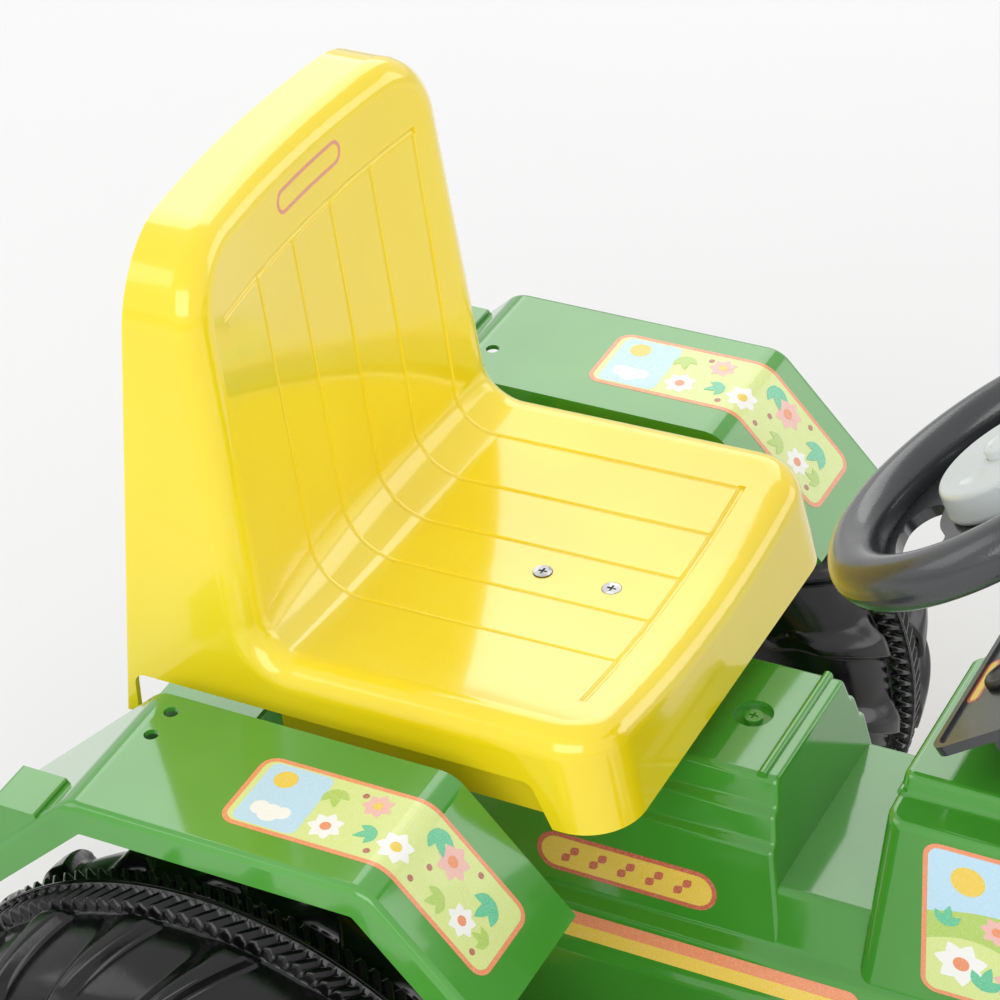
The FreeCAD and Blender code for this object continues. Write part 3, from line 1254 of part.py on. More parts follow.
def sprocket(x, bore_r):
    """A toothed disc with a hub: a roller seat every pitch, the first one straight up."""
    centre = V(x, SPROCKET_Y, AXLE_Z)
    start = centre - Y_AXIS * (SPROCKET_THICKNESS / 2)
    disc = rod(start, start + Y_AXIS * SPROCKET_THICKNESS, SPROCKET_R + TOOTH_HEIGHT)
    hub_half = Y_AXIS * (SPROCKET_HUB_LENGTH / 2)
    hub = rod(centre - hub_half, centre + hub_half, SPROCKET_BORE_RING)
    shape = joined([disc, hub])
    cuts = [rod(centre - hub_half * 2, centre + hub_half * 2, bore_r)]
    turn = 2 * math.pi / SPROCKET_TEETH
    seat_r = ROLLER_R + ROLLER_GAP
    for index in range(SPROCKET_TEETH):
        angle = math.pi / 2 + index * turn
        out = V(math.cos(angle), 0, math.sin(angle))
        across = V(-out.z, 0, out.x) * seat_r
        low = start + out * SPROCKET_R - Y_AXIS * SPROCKET_THICKNESS
        cuts.append(rod(low, low + Y_AXIS * (3 * SPROCKET_THICKNESS), seat_r))
        flare = across * (1 + TOOTH_FLARE_SHARE)
        top = out * (TOOTH_HEIGHT + OVERRUN)
        mouth = polygon([low - across, low + top - flare, low + top + flare, low + across])
        cuts.append(prism(mouth, Y_AXIS * (3 * SPROCKET_THICKNESS)))
    return without(shape, cuts)


def chain_place(index):
    """The middle of a roller, and the chain's direction there, counted in pitches round the loop."""
    run = CRANK_X
    wrap = SPROCKET_TEETH * CHAIN_PITCH / 2
    travel = (index * CHAIN_PITCH) % (2 * run + 2 * wrap)
    if travel <= run:
        return V(travel, 0, AXLE_Z + SPROCKET_R)
    if travel <= run + wrap:
        angle = math.pi / 2 - (travel - run) / SPROCKET_R
        return V(run + SPROCKET_R * math.cos(angle), 0, AXLE_Z + SPROCKET_R * math.sin(angle))
    if travel <= 2 * run + wrap:
        return V(run - (travel - run - wrap), 0, AXLE_Z - SPROCKET_R)
    angle = -math.pi / 2 - (travel - 2 * run - wrap) / SPROCKET_R
    return V(SPROCKET_R * math.cos(angle), 0, AXLE_Z + SPROCKET_R * math.sin(angle))


def link_plate(start, end, y, thickness):
    """A chain side plate with chamfered ends, reaching past both of its rollers."""
    along = (end - start).normalize()
    up = V(-along.z, 0, along.x) * LINK_HALF_HEIGHT
    reach = along * LINK_HALF_HEIGHT
    low = Y_AXIS * y
    corners = [
        start - reach + up * (1 - LINK_END_SHARE), start - reach * (1 - LINK_END_SHARE) + up,
        end + reach * (1 - LINK_END_SHARE) + up, end + reach + up * (1 - LINK_END_SHARE),
        end + reach - up * (1 - LINK_END_SHARE), end + reach * (1 - LINK_END_SHARE) - up,
        start - reach * (1 - LINK_END_SHARE) - up, start - reach - up * (1 - LINK_END_SHARE),
    ]
    return prism(polygon([corner + low for corner in corners]), Y_AXIS * thickness)


def chain():
    """Inner links with their rollers, and outer plates over them, laid round both sprockets."""
    solids = []
    inner = LINK_INNER_WIDTH / 2
    outer = inner + LINK_PLATE + LINK_GAP
    for index in range(CHAIN_LINKS):
        start = chain_place(index)
        end = chain_place(index + 1)
        if index % 2 == 0:
            rollers = [
                rod(p + Y_AXIS * (SPROCKET_Y - inner), p + Y_AXIS * (SPROCKET_Y + inner), ROLLER_R)
                for p in (start, end)
            ]
            plates = [
                link_plate(start, end, SPROCKET_Y + inner, LINK_PLATE),
                link_plate(start, end, SPROCKET_Y - inner - LINK_PLATE, LINK_PLATE),
            ]
            solids.append(joined(plates + rollers))
        else:
            solids.append(link_plate(start, end, SPROCKET_Y + outer, LINK_PLATE))
            solids.append(link_plate(start, end, SPROCKET_Y - outer - LINK_PLATE, LINK_PLATE))
    return group(solids)


def build_crank():
    spindle = CRANK_HALF + CRANK_BEND_R + PEDAL_WIDTH + FACE_GAP + PEDAL_CAP_LENGTH
    path = [
        V(CRANK_X + CRANK_ARM, -spindle, AXLE_Z), V(CRANK_X + CRANK_ARM, -CRANK_HALF, AXLE_Z),
        V(CRANK_X, -CRANK_HALF, AXLE_Z), V(CRANK_X, CRANK_HALF, AXLE_Z),
        V(CRANK_X - CRANK_ARM, CRANK_HALF, AXLE_Z), V(CRANK_X - CRANK_ARM, spindle, AXLE_Z),
    ]
    pieces["crank_shaft"] = pipe(rounded_wire(path, CRANK_BEND_R, closed=False), CRANK_R)
    for name, side in SIDES:
        x = CRANK_X - side * CRANK_ARM
        start = CRANK_HALF + CRANK_BEND_R
        pieces[f"{name}_pedal"] = pedal(x, start, side)
        cap_start = start + PEDAL_WIDTH + FACE_GAP
        pieces[f"{name}_pedal_cap"] = tube(
            V(x, side * cap_start, AXLE_Z), V(x, side * (cap_start + PEDAL_CAP_LENGTH), AXLE_Z),
            CRANK_R, PEDAL_CAP_R,
        )


def pedal(x, start, side):
    """A foot block on the crank's spindle, grooved for grip on both faces."""
    half = PEDAL_LENGTH / 2
    height = PEDAL_HEIGHT / 2
    corners = [
        V(x - half, 0, AXLE_Z - height), V(x + half, 0, AXLE_Z - height),
        V(x + half, 0, AXLE_Z + height), V(x - half, 0, AXLE_Z + height),
    ]
    block = prism(rounded_wire(corners, PEDAL_CORNER_R), Y_AXIS * PEDAL_WIDTH)
    block.translate(V(0, start, 0))
    step = PEDAL_LENGTH / (PEDAL_GROOVE_COUNT + 1)
    cuts = [rod(V(x, start - OVERRUN, AXLE_Z), V(x, start + PEDAL_WIDTH + OVERRUN, AXLE_Z), CRANK_R + RUN_GAP)]
    for index in range(PEDAL_GROOVE_COUNT):
        groove_x = x - half + step * (index + 1)
        for face in (-1, 1):
            surface = AXLE_Z + face * height
            low = V(groove_x - PEDAL_GROOVE_WIDTH / 2, start + PEDAL_CORNER_R, surface - PEDAL_GROOVE_DEPTH)
            high = V(
                groove_x + PEDAL_GROOVE_WIDTH / 2,
                start + PEDAL_WIDTH - PEDAL_CORNER_R,
                surface + PEDAL_GROOVE_DEPTH,
            )
            cuts.append(box(low, high))
    return on_side(without(block, cuts), side)


# Seat


def seat_line(below):
    """The sitting line along the middle, from in front of the pan to above the backrest, lowered by a depth."""
    pitch = math.radians(SEAT_PAN_PITCH)
    lean = math.radians(SEAT_RECLINE)
    pan_along = V(math.cos(pitch), 0, math.sin(pitch))
    pan_up = V(-math.sin(pitch), 0, math.cos(pitch))
    back_along = V(-math.sin(lean), 0, math.cos(lean))
    back_out = V(math.cos(lean), 0, math.sin(lean))
    pan = V(SEAT_PAN_X, 0, SEAT_PAN_Z) - pan_up * below
    back = V(SEAT_BACK_X, 0, SEAT_BACK_Z) - back_out * below
    gap = back - pan
    cross = pan_along.x * back_along.z - pan_along.z * back_along.x
    corner = pan + pan_along * ((gap.x * back_along.z - gap.z * back_along.x) / cross)
    front = pan + pan_along * (SEAT_FRONT_X - SEAT_PAN_X + SEAT_EDGE_R)
    top = back + back_along * (SEAT_TOP_Z - SEAT_BACK_Z + SEAT_EDGE_R)
    return [front, corner, top], pan_up


def seat_rise(y):
    """How far the dished surface stands above the sitting line at a place across the seat."""
    return SEAT_DISH_R - math.sqrt(SEAT_DISH_R ** 2 - y ** 2)


def seat_solid(inset):
    """The seat's outside, or with an inset the hollow under it, which runs out past the rim."""
    line, up = seat_line(0)
    spine = rounded_wire(line, SEAT_BIGHT_R, closed=False)
    reach = SEAT_RIM_HALF + SEAT_EDGE_R
    bow = seat_rise(SEAT_RIM_HALF)
    deep = SEAT_PAN_Z - SEAT_RIM_Z + SEAT_BACK_X - SEAT_REAR_FOOT_X + bow + SEAT_EDGE_R
    front = line[0] - up * inset
    edge = up * seat_rise(reach)
    section = Part.Wire([
        Part.Arc(front - Y_AXIS * reach + edge, front, front + Y_AXIS * reach + edge).toShape(),
        Part.LineSegment(front + Y_AXIS * reach + edge, front + Y_AXIS * reach - up * deep).toShape(),
        Part.LineSegment(front + Y_AXIS * reach - up * deep, front - Y_AXIS * reach - up * deep).toShape(),
        Part.LineSegment(front - Y_AXIS * reach - up * deep, front - Y_AXIS * reach + edge).toShape(),
    ])
    sweep = spine.makePipeShell([section], True, False)
    past = 0 if inset == 0 else OVERRUN
    lean = math.tan(math.radians(SEAT_FRONT_LEAN))
    height = SEAT_TOP_Z - SEAT_RIM_Z
    rear_lean = (SEAT_REAR_TOP_X - SEAT_REAR_FOOT_X) / height
    low = SEAT_RIM_Z - past
    top = SEAT_TOP_Z - inset
    side_view = side_prism(
        [
            (SEAT_FRONT_X - inset + past * lean, low),
            (SEAT_FRONT_X - inset - (top - SEAT_RIM_Z) * lean, top),
            (SEAT_REAR_TOP_X - bow - past - inset * rear_lean, top),
            (SEAT_REAR_FOOT_X - bow - past - past * rear_lean, low),
        ],
        reach,
    )
    flare = (SEAT_RIM_HALF - SEAT_TOP_HALF) / height
    foot_half = SEAT_RIM_HALF - inset + past * flare
    top_half = SEAT_RIM_HALF - inset - (top - SEAT_RIM_Z) * flare
    rear = SEAT_REAR_FOOT_X - bow - 2 * OVERRUN
    front_view = prism(
        polygon([
            V(rear, -foot_half, low), V(rear, foot_half, low),
            V(rear, top_half, top), V(rear, -top_half, top),
        ]),
        X_AXIS * (SEAT_FRONT_X - rear + OVERRUN),
    )
    block = side_view.common(front_view)
    if inset == 0:
        block = block.common(seat_bow())
    block = block.makeFillet(SEAT_TOP_CORNER_R - inset, block_edges(block, top, along_x=True))
    block = block.makeFillet(SEAT_FRONT_CORNER_R - inset, block_edges(block, top, along_x=False))
    shape = block.common(sweep).removeSplitter()
    return shape.makeFillet(SEAT_EDGE_R - inset, seat_edges(shape, inset))


def seat_bow():
    """A block whose rear face bows as the sitting surface does and leans as the open back does."""
    reach = SEAT_RIM_HALF + SEAT_EDGE_R
    lean = V(SEAT_REAR_TOP_X - SEAT_REAR_FOOT_X, 0, SEAT_TOP_Z - SEAT_RIM_Z)
    start = V(SEAT_REAR_FOOT_X - seat_rise(SEAT_RIM_HALF), 0, SEAT_RIM_Z) - lean
    side = Y_AXIS * reach + X_AXIS * seat_rise(reach)
    mirrored = X_AXIS * seat_rise(reach) - Y_AXIS * reach
    ahead = X_AXIS * (SEAT_FRONT_X - SEAT_REAR_FOOT_X) * 2
    wire = Part.Wire([
        Part.Arc(start + mirrored, start, start + side).toShape(),
        Part.LineSegment(start + side, start + side + ahead).toShape(),
        Part.LineSegment(start + side + ahead, start + mirrored + ahead).toShape(),
        Part.LineSegment(start + mirrored + ahead, start + mirrored).toShape(),
    ])
    return prism(wire, lean * 3)


def block_edges(block, top, along_x):
    """The block's two top side edges, or its two upright front corner edges."""
    chosen = []
    for edge in block.Edges:
        ends = [vertex.Point for vertex in edge.Vertexes]
        if len(ends) < 2 or abs(ends[0].y - ends[1].y) > abs(ends[0].x - ends[1].x) + abs(ends[0].z - ends[1].z):
            continue
        level = abs(ends[0].z - ends[1].z) < RUN_GAP
        at_top = min(point.z for point in ends) > top - RUN_GAP
        ahead = min(point.x for point in ends) > SEAT_BACK_X
        if along_x and level and at_top:
            chosen.append(edge)
        if not along_x and ahead and not level:
            chosen.append(edge)
    return chosen


def seat_edges(shape, inset):
    """The edges where the dished surface meets the walls."""
    line, _ = seat_line(0)
    spine = rounded_wire(line, SEAT_BIGHT_R, closed=False)
    chosen = []
    for edge in shape.Edges:
        params = [edge.FirstParameter, edge.LastParameter, (edge.FirstParameter + edge.LastParameter) / 2]
        on_surface = True
        for point in (edge.valueAt(p) for p in params):
            flat = Part.Vertex(V(point.x, 0, point.z))
            distance = spine.distToShape(flat)[0]
            if abs(distance - abs(seat_rise(point.y) - inset)) > FACE_GAP:
                on_surface = False
        middle = edge.valueAt(params[2])
        inside = abs(middle.y) < RUN_GAP and edge.Length < SEAT_TOP_HALF
        if on_surface and not inside and not between_dish_faces(shape, edge):
            chosen.append(edge)
    return chosen


def between_dish_faces(shape, edge):
    """Whether an edge only divides two stretches of the dished surface, which run on smoothly."""
    faces = [face for face in shape.Faces if any(e.isSame(edge) for e in face.Edges)]
    if len(faces) < 2:
        return True
    point = edge.valueAt((edge.FirstParameter + edge.LastParameter) / 2)
    normals = [face.normalAt(*face.Surface.parameter(point)) for face in faces]
    return abs(normals[0].dot(normals[1])) > math.cos(math.radians(5))


def groove(y):
    """A long groove in the sitting surface, from the front of the pan to the top of the back."""
    lift = seat_rise(y) + GROOVE_LIFT
    line, _ = seat_line(-lift)
    front, corner, top = line
    start = corner + (front - corner).normalize() * (GROOVE_FRONT_X - corner.x)
    end = corner + (top - corner).normalize() * (GROOVE_TOP_Z - corner.z)
    spine = rounded_wire([p + Y_AXIS * y for p in (start, corner, end)], SEAT_BIGHT_R - lift, closed=False)
    return pipe(spine, GROOVE_R)


def cross_groove(at_front):
    """A groove across the seat that ties the ends of the long ones."""
    line, up = seat_line(-GROOVE_LIFT)
    front, corner, top = line
    if at_front:
        middle = corner + (front - corner).normalize() * (GROOVE_FRONT_X - corner.x)
        out = up
    else:
        along = (top - corner).normalize()
        middle = corner + along * (GROOVE_TOP_Z - corner.z)
        out = V(along.z, 0, -along.x)
    half = GROOVE_HALF + CROSS_GROOVE_R
    rise = out * seat_rise(half)
    arc = Part.Arc(middle - Y_AXIS * half + rise, middle, middle + Y_AXIS * half + rise).toShape()
    return pipe(Part.Wire([arc]), CROSS_GROOVE_R)


def seat_arch():
    """What the side walls leave free between the heel and the front apron, below the rim's flange."""
    low = SEAT_RIM_Z - SEAT_FLANGE_DROP
    high = SEAT_PAN_Z - SEAT_FLANGE_DROP
    apron_x = SEAT_FRONT_X - SEAT_APRON_RUN
    heel_x = SEAT_REAR_FOOT_X + SEAT_HEEL
    corners = [(heel_x, low), (heel_x, high), (apron_x, high), (apron_x + SEAT_APRON_SLANT, low)]
    reach = SEAT_RIM_HALF + OVERRUN
    wire = rounded_wire([V(x, -reach, z) for x, z in corners], SEAT_FLANGE_R)
    return prism(wire, Y_AXIS * (2 * reach))


def seat_skirts():
    """The two inner skirts that stand in from the rim's flange and run forward to the apron."""
    outer_y = SEAT_RIM_HALF - SEAT_SKIRT_SET_IN
    under_skin = seat_solid(SEAT_WALL / 2)
    skirts = []
    for _, side in SIDES:
        start_y = outer_y - SEAT_WALL if side > 0 else -outer_y
        corner = V(SEAT_SKIRT_REAR_X, start_y, SEAT_RIM_Z)
        skirt = box(corner, V(SEAT_FRONT_X, start_y + SEAT_WALL, SEAT_PAN_Z + SEAT_EDGE_R))
        skirts.append(skirt.common(under_skin))
    return skirts


def build_seat():
    shell = seat_solid(0).cut(seat_solid(SEAT_WALL)).cut(seat_arch())
    bosses = [rod(V(x, 0, RISER_TOP_Z), V(x, 0, SEAT_PAN_Z - SEAT_WALL / 2), SEAT_BOSS_R) for x in SEAT_SCREW_X]
    shell = joined([shell] + bosses + seat_skirts())
    spacing = 2 * GROOVE_HALF / (GROOVE_COUNT - 1)
    cuts = [cross_groove(True), cross_groove(False)]
    cuts += [groove(index * spacing - GROOVE_HALF) for index in range(GROOVE_COUNT)]
    for x in SEAT_SCREW_X:
        cuts.append(rod(V(x, 0, SEAT_PAN_Z - SEAT_SINK), V(x, 0, SEAT_PAN_Z + OVERRUN), SCREW_HEAD_R + FACE_GAP))
        cuts.append(rod(V(x, 0, RISER_TOP_Z - OVERRUN), V(x, 0, SEAT_PAN_Z), SCREW_R + RUN_GAP))
    pieces["seat"] = without(shell, cuts)
    pieces["seat_screws"] = group([
        screw(V(x, 0, SEAT_PAN_Z - SEAT_SINK + SCREW_HEAD_HEIGHT), -Z_AXIS, SCREW_LENGTH) for x in SEAT_SCREW_X
    ])
    outer = box(V(RISER_REAR_X, -RISER_HALF, PEDESTAL_TOP_Z), V(RISER_FRONT_X, RISER_HALF, RISER_TOP_Z))
    hollow = box(
        V(RISER_REAR_X - OVERRUN, RISER_WALL - RISER_HALF, PEDESTAL_TOP_Z - OVERRUN),
        V(RISER_FRONT_X + OVERRUN, RISER_HALF - RISER_WALL, RISER_TOP_Z - RISER_WALL),
    )
    feet = [
        box(
            V(RISER_REAR_X, side * (RISER_HALF + RISER_FOOT / 2) - RISER_FOOT / 2, PEDESTAL_TOP_Z),
            V(RISER_FRONT_X, side * (RISER_HALF + RISER_FOOT / 2) + RISER_FOOT / 2, PEDESTAL_TOP_Z + RISER_WALL),
        )
        for _, side in SIDES
    ]
    holes = [
        rod(V(x, 0, PEDESTAL_TOP_Z), V(x, 0, RISER_TOP_Z + OVERRUN), SCREW_R + RUN_GAP)
        for x in SEAT_SCREW_X
    ]
    pieces["seat_riser"] = without(joined([outer.cut(hollow)] + feet), holes)


# Fenders


def fender_line(below):
    """The fender's top line of (x, z) points from rear to front, moved down by a depth."""
    points = [
        (FENDER_REAR_X - FENDER_REAR_RUN, FENDER_TOP_Z - FENDER_REAR_DROP),
        (FENDER_REAR_X, FENDER_TOP_Z),
        (FENDER_FRONT_X, FENDER_TOP_Z),
        (FENDER_FRONT_X + FENDER_FRONT_RUN, FENDER_TOP_Z - FENDER_FRONT_DROP),
    ]
    moved = []
    for index, (x, z) in enumerate(points):
        normals = []
        for first, second in ((index - 1, index), (index, index + 1)):
            if first >= 0 and second < len(points):
                dx = points[second][0] - points[first][0]
                dz = points[second][1] - points[first][1]
                normals.append(V(dz, 0, -dx).normalize())
        total = normals[0] + normals[-1]
        shift = total * (below / (1 + normals[0].dot(normals[-1])))
        moved.append((x + shift.x, z + shift.z))
    return moved


def fender_band(high, low, y_start, y_end):
    """The band between two depths below the fender's top line, between two places across."""
    wires = []
    for depth in (high, low):
        points = [V(x, y_start, z) for x, z in fender_line(depth)]
        wires.append(rounded_wire(points, max(FENDER_CREASE_R - depth, FENDER_WALL), closed=False))
    ends = [
        Part.LineSegment(wires[0].Vertexes[index].Point, wires[1].Vertexes[index].Point).toShape()
        for index in (0, -1)
    ]
    edges = wires[0].Edges + wires[1].Edges + ends
    return prism(Part.Wire(Part.sortEdges(edges)[0]), Y_AXIS * (y_end - y_start))


def fender():
    """The left fender: top, outer flange, inner wall, and the tab that bolts to the cross-member."""
    block = fender_band(0, FENDER_INNER_DEPTH, FENDER_IN, FENDER_OUT)
    long_edges = [
        e for e in block.Edges
        if abs(e.valueAt(e.FirstParameter).y - FENDER_OUT) < RUN_GAP
        and abs(e.valueAt(e.LastParameter).y - FENDER_OUT) < RUN_GAP
        and on_fender_top(e)
    ]
    block = block.makeFillet(FENDER_EDGE_R, long_edges)
    deep = FENDER_INNER_DEPTH + OVERRUN
    hollow = fender_band(FENDER_WALL, deep, FENDER_IN + FENDER_WALL, FENDER_OUT - FENDER_WALL)
    under = fender_band(FENDER_FLANGE, deep, FENDER_OUT - 2 * FENDER_WALL, FENDER_OUT + OVERRUN)
    tab = box(
        V(CROSS_REAR_X, FENDER_IN, FENDER_TOP_Z - FENDER_TAB_DEPTH),
        V(CROSS_FRONT_X, FENDER_IN + FENDER_WALL, FENDER_TOP_Z - FENDER_INNER_DEPTH),
    )
    shape = joined([without(block, [hollow, under]), tab, tail_housing(0, FENDER_WALL)])
    cuts = [tail_housing(FENDER_WALL, FENDER_WALL + OVERRUN)]
    for index in range(2):
        y = FENDER_IN + FENDER_HOLE_INSET + index * FENDER_HOLE_SPACING
        cuts.append(rod(
            V(FENDER_HOLE_X, y, FENDER_TOP_Z - FENDER_WALL - OVERRUN),
            V(FENDER_HOLE_X, y, FENDER_TOP_Z + OVERRUN),
            FENDER_HOLE_R,
        ))
    for x, z in fender_bolts():
        cuts.append(rod(V(x, 0, z), V(x, FENDER_OUT - OVERRUN, z), SCREW_R + RUN_GAP))
    return without(shape, cuts)


def on_fender_top(edge):
    line = rounded_wire([V(x, FENDER_OUT, z) for x, z in fender_line(0)], FENDER_CREASE_R, closed=False)
    middle = Part.Vertex(edge.valueAt((edge.FirstParameter + edge.LastParameter) / 2))
    return line.distToShape(middle)[0] < RUN_GAP


def tail_housing(inset, below):
    """The tail lamp's housing on the rear slope, level on top and upright behind, or with an inset its hollow."""
    front = FENDER_REAR_X - TAIL_SETBACK - inset
    rear = FENDER_REAR_X - TAIL_SETBACK - TAIL_LENGTH + inset
    top = FENDER_TOP_Z - TAIL_DROP - inset
    fall = FENDER_REAR_DROP / FENDER_REAR_RUN
    points = [(x, FENDER_TOP_Z - (FENDER_REAR_X - x) * fall - below) for x in (rear, front)]
    points += [(front, top), (rear, top)]
    y = FENDER_OUT - TAIL_EDGE - TAIL_WIDTH + inset
    wire = rounded_wire([V(x, y, z) for x, z in points], TAIL_CORNER_R)
    return prism(wire, Y_AXIS * (TAIL_WIDTH - 2 * inset))


def fender_bolts():
    """Places of the two screws that hold a fender's tab to the cross-member."""
    z = CROSS_TOP_Z - CROSS_END_DEPTH * 2 / 3
    middle = (CROSS_REAR_X + CROSS_FRONT_X) / 2
    quarter = (CROSS_FRONT_X - CROSS_REAR_X) / 4
    return [(middle - quarter, z), (middle + quarter, z)]


def build_fenders():
    left = fender()
    pieces["left_fender"] = left
    pieces["right_fender"] = mirrored(left)
    screws = []
    for x, z in fender_bolts():
        for _, side in SIDES:
            head = V(x, side * (FENDER_IN + FENDER_WALL + SCREW_HEAD_HEIGHT), z)
            screws.append(screw(head, -Y_AXIS * side, SCREW_LENGTH))
    pieces["fender_screws"] = group(screws)
    end = FENDER_IN
    outer = box(V(CROSS_REAR_X, -end, CROSS_TOP_Z - CROSS_END_DEPTH), V(CROSS_FRONT_X, end, CROSS_TOP_Z))
    inside = end - CROSS_WALL
    hollow = box(
        V(CROSS_REAR_X - OVERRUN, -inside, CROSS_TOP_Z - CROSS_END_DEPTH - OVERRUN),
        V(CROSS_FRONT_X + OVERRUN, inside, CROSS_TOP_Z - CROSS_WALL),
    )
    legs = [
        box(
            V(CROSS_REAR_X, side * CROSS_LEG_HALF - CROSS_WALL / 2, FLOOR_Z),
            V(CROSS_FRONT_X, side * CROSS_LEG_HALF + CROSS_WALL / 2, CROSS_TOP_Z - CROSS_WALL / 2),
        )
        for _, side in SIDES
    ]
    holes = [rod(V(x, -end - OVERRUN, z), V(x, end + OVERRUN, z), SCREW_R + RUN_GAP) for x, z in fender_bolts()]
    pieces["rear_crossmember"] = without(joined([outer.cut(hollow)] + legs), holes)


# Nose trim and hitch


def build_nose():
    front = NOSE_X + GRILLE_THICKNESS
    corners = [
        V(NOSE_X, -GRILLE_HALF, GRILLE_BOTTOM_Z), V(NOSE_X, GRILLE_HALF, GRILLE_BOTTOM_Z),
        V(NOSE_X, GRILLE_HALF, GRILLE_TOP_Z), V(NOSE_X, -GRILLE_HALF, GRILLE_TOP_Z),
    ]
    plate = prism(rounded_wire(corners, GRILLE_CORNER_R), X_AXIS * GRILLE_THICKNESS)
    inner_half = GRILLE_HALF - GRILLE_RIM - FACE_GAP
    low = GRILLE_BOTTOM_Z + GRILLE_RIM + FACE_GAP
    high = GRILLE_TOP_Z - GRILLE_RIM - FACE_GAP
    spigot = box(V(NOSE_X - GRILLE_SPIGOT, -inner_half, low), V(NOSE_X, inner_half, high))
    core = box(
        V(NOSE_X - GRILLE_SPIGOT - OVERRUN, GRILLE_THICKNESS / 2 - inner_half, low + GRILLE_THICKNESS / 2),
        V(NOSE_X, inner_half - GRILLE_THICKNESS / 2, high - GRILLE_THICKNESS / 2),
    )
    shape = joined([plate, spigot.cut(core)])
    slot_top = high - GRILLE_LAMP_BAND
    pitch = (slot_top - low) / GRILLE_SLOTS
    slot_half = inner_half - GRILLE_THICKNESS
    cuts = []
    for index in range(GRILLE_SLOTS):
        z = low + pitch * (index + (1 - GRILLE_SLOT_SHARE) / 2)
        cuts.append(box(
            V(NOSE_X - OVERRUN, -slot_half, z), V(front + OVERRUN, slot_half, z + pitch * GRILLE_SLOT_SHARE)
        ))
    lamps = []
    lamp_z = (slot_top + GRILLE_TOP_Z) / 2 - GRILLE_RIM / 2
    ball_r = (LAMP_R ** 2 + LAMP_CROWN ** 2) / (2 * LAMP_CROWN)
    for _, side in SIDES:
        centre = V(front, side * LAMP_PLACE, lamp_z)
        sunk = centre - X_AXIS * (GRILLE_THICKNESS / 2)
        cuts.append(rod(sunk, centre + X_AXIS * OVERRUN, LAMP_R + FACE_GAP))
        plug = rod(sunk, centre, LAMP_R)
        ball = Part.makeSphere(ball_r, centre + X_AXIS * (LAMP_CROWN - ball_r))
        lamps.append(joined([plug, ball.common(rod(centre, centre + X_AXIS * LAMP_CROWN, LAMP_R))]))
    pieces["grille"] = without(shape, cuts)
    pieces["headlights"] = group(lamps)


def build_hitch():
    low = HITCH_Z
    plate = bar(V(HITCH_ROOT_X, 0, low), V(HITCH_HALF - HITCH_REACH, 0, low), HITCH_HALF, HITCH_THICKNESS)
    cuts = [rod(
        V(HITCH_HALF - HITCH_REACH, 0, low - OVERRUN),
        V(HITCH_HALF - HITCH_REACH, 0, low + HITCH_THICKNESS + OVERRUN),
        HITCH_HOLE_R,
    )]
    bolts = []
    for x in HITCH_BOLT_X:
        cuts.append(rod(V(x, 0, low - OVERRUN), V(x, 0, low + HITCH_THICKNESS + OVERRUN), SCREW_R + RUN_GAP))
        bolts.append(screw(V(x, 0, CHASSIS_TOP_Z + SCREW_HEAD_HEIGHT), -Z_AXIS, SCREW_LENGTH))
    pieces["tow_hitch"] = without(plate, cuts)
    pieces["hitch_bolts"] = group(bolts)


def write_pieces():
    os.makedirs("parts", exist_ok=True)
    for name, shape in pieces.items():
        shape.translate(V(-ORIGIN_X, 0, 0))
        shape.exportStep(f"parts/{name}.step")


build_wheels()
build_body()
build_undertray()
build_chassis()
build_front_axle()
build_tie_rod()
build_steering()
build_dash()
build_drive()
build_seat()
build_fenders()
build_nose()
build_hitch()
write_pieces()
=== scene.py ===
import bpy
import bmesh
import math
import numpy as np
from mathutils import Matrix, Vector


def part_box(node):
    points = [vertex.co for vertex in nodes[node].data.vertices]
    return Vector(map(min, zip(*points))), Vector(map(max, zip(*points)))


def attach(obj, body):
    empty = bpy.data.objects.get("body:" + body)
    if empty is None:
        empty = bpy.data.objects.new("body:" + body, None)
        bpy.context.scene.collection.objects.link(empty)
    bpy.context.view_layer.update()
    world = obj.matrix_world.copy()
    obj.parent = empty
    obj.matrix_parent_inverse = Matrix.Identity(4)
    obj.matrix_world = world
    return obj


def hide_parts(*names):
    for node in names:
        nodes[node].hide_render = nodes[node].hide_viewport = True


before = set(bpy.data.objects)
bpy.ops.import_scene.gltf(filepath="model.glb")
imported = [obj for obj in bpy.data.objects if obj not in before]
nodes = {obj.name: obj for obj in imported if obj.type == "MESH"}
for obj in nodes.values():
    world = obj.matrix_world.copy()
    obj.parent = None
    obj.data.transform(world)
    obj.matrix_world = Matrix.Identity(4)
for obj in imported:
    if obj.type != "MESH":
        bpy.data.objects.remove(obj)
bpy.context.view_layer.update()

# Camera, from the fitted view
CAMERA_AT = (0.44731, -1.11688, 1.33303)
CAMERA_AZIMUTH = 29.89
CAMERA_ELEVATION = 35.67
CAMERA_ROLL = -4.83
CAMERA_LENS = 123.57
CAMERA_SENSOR = 36.0

# Places, in millimetres from the rear axle, as the source has them
MM = 0.001
ORIGIN_X = 238.5

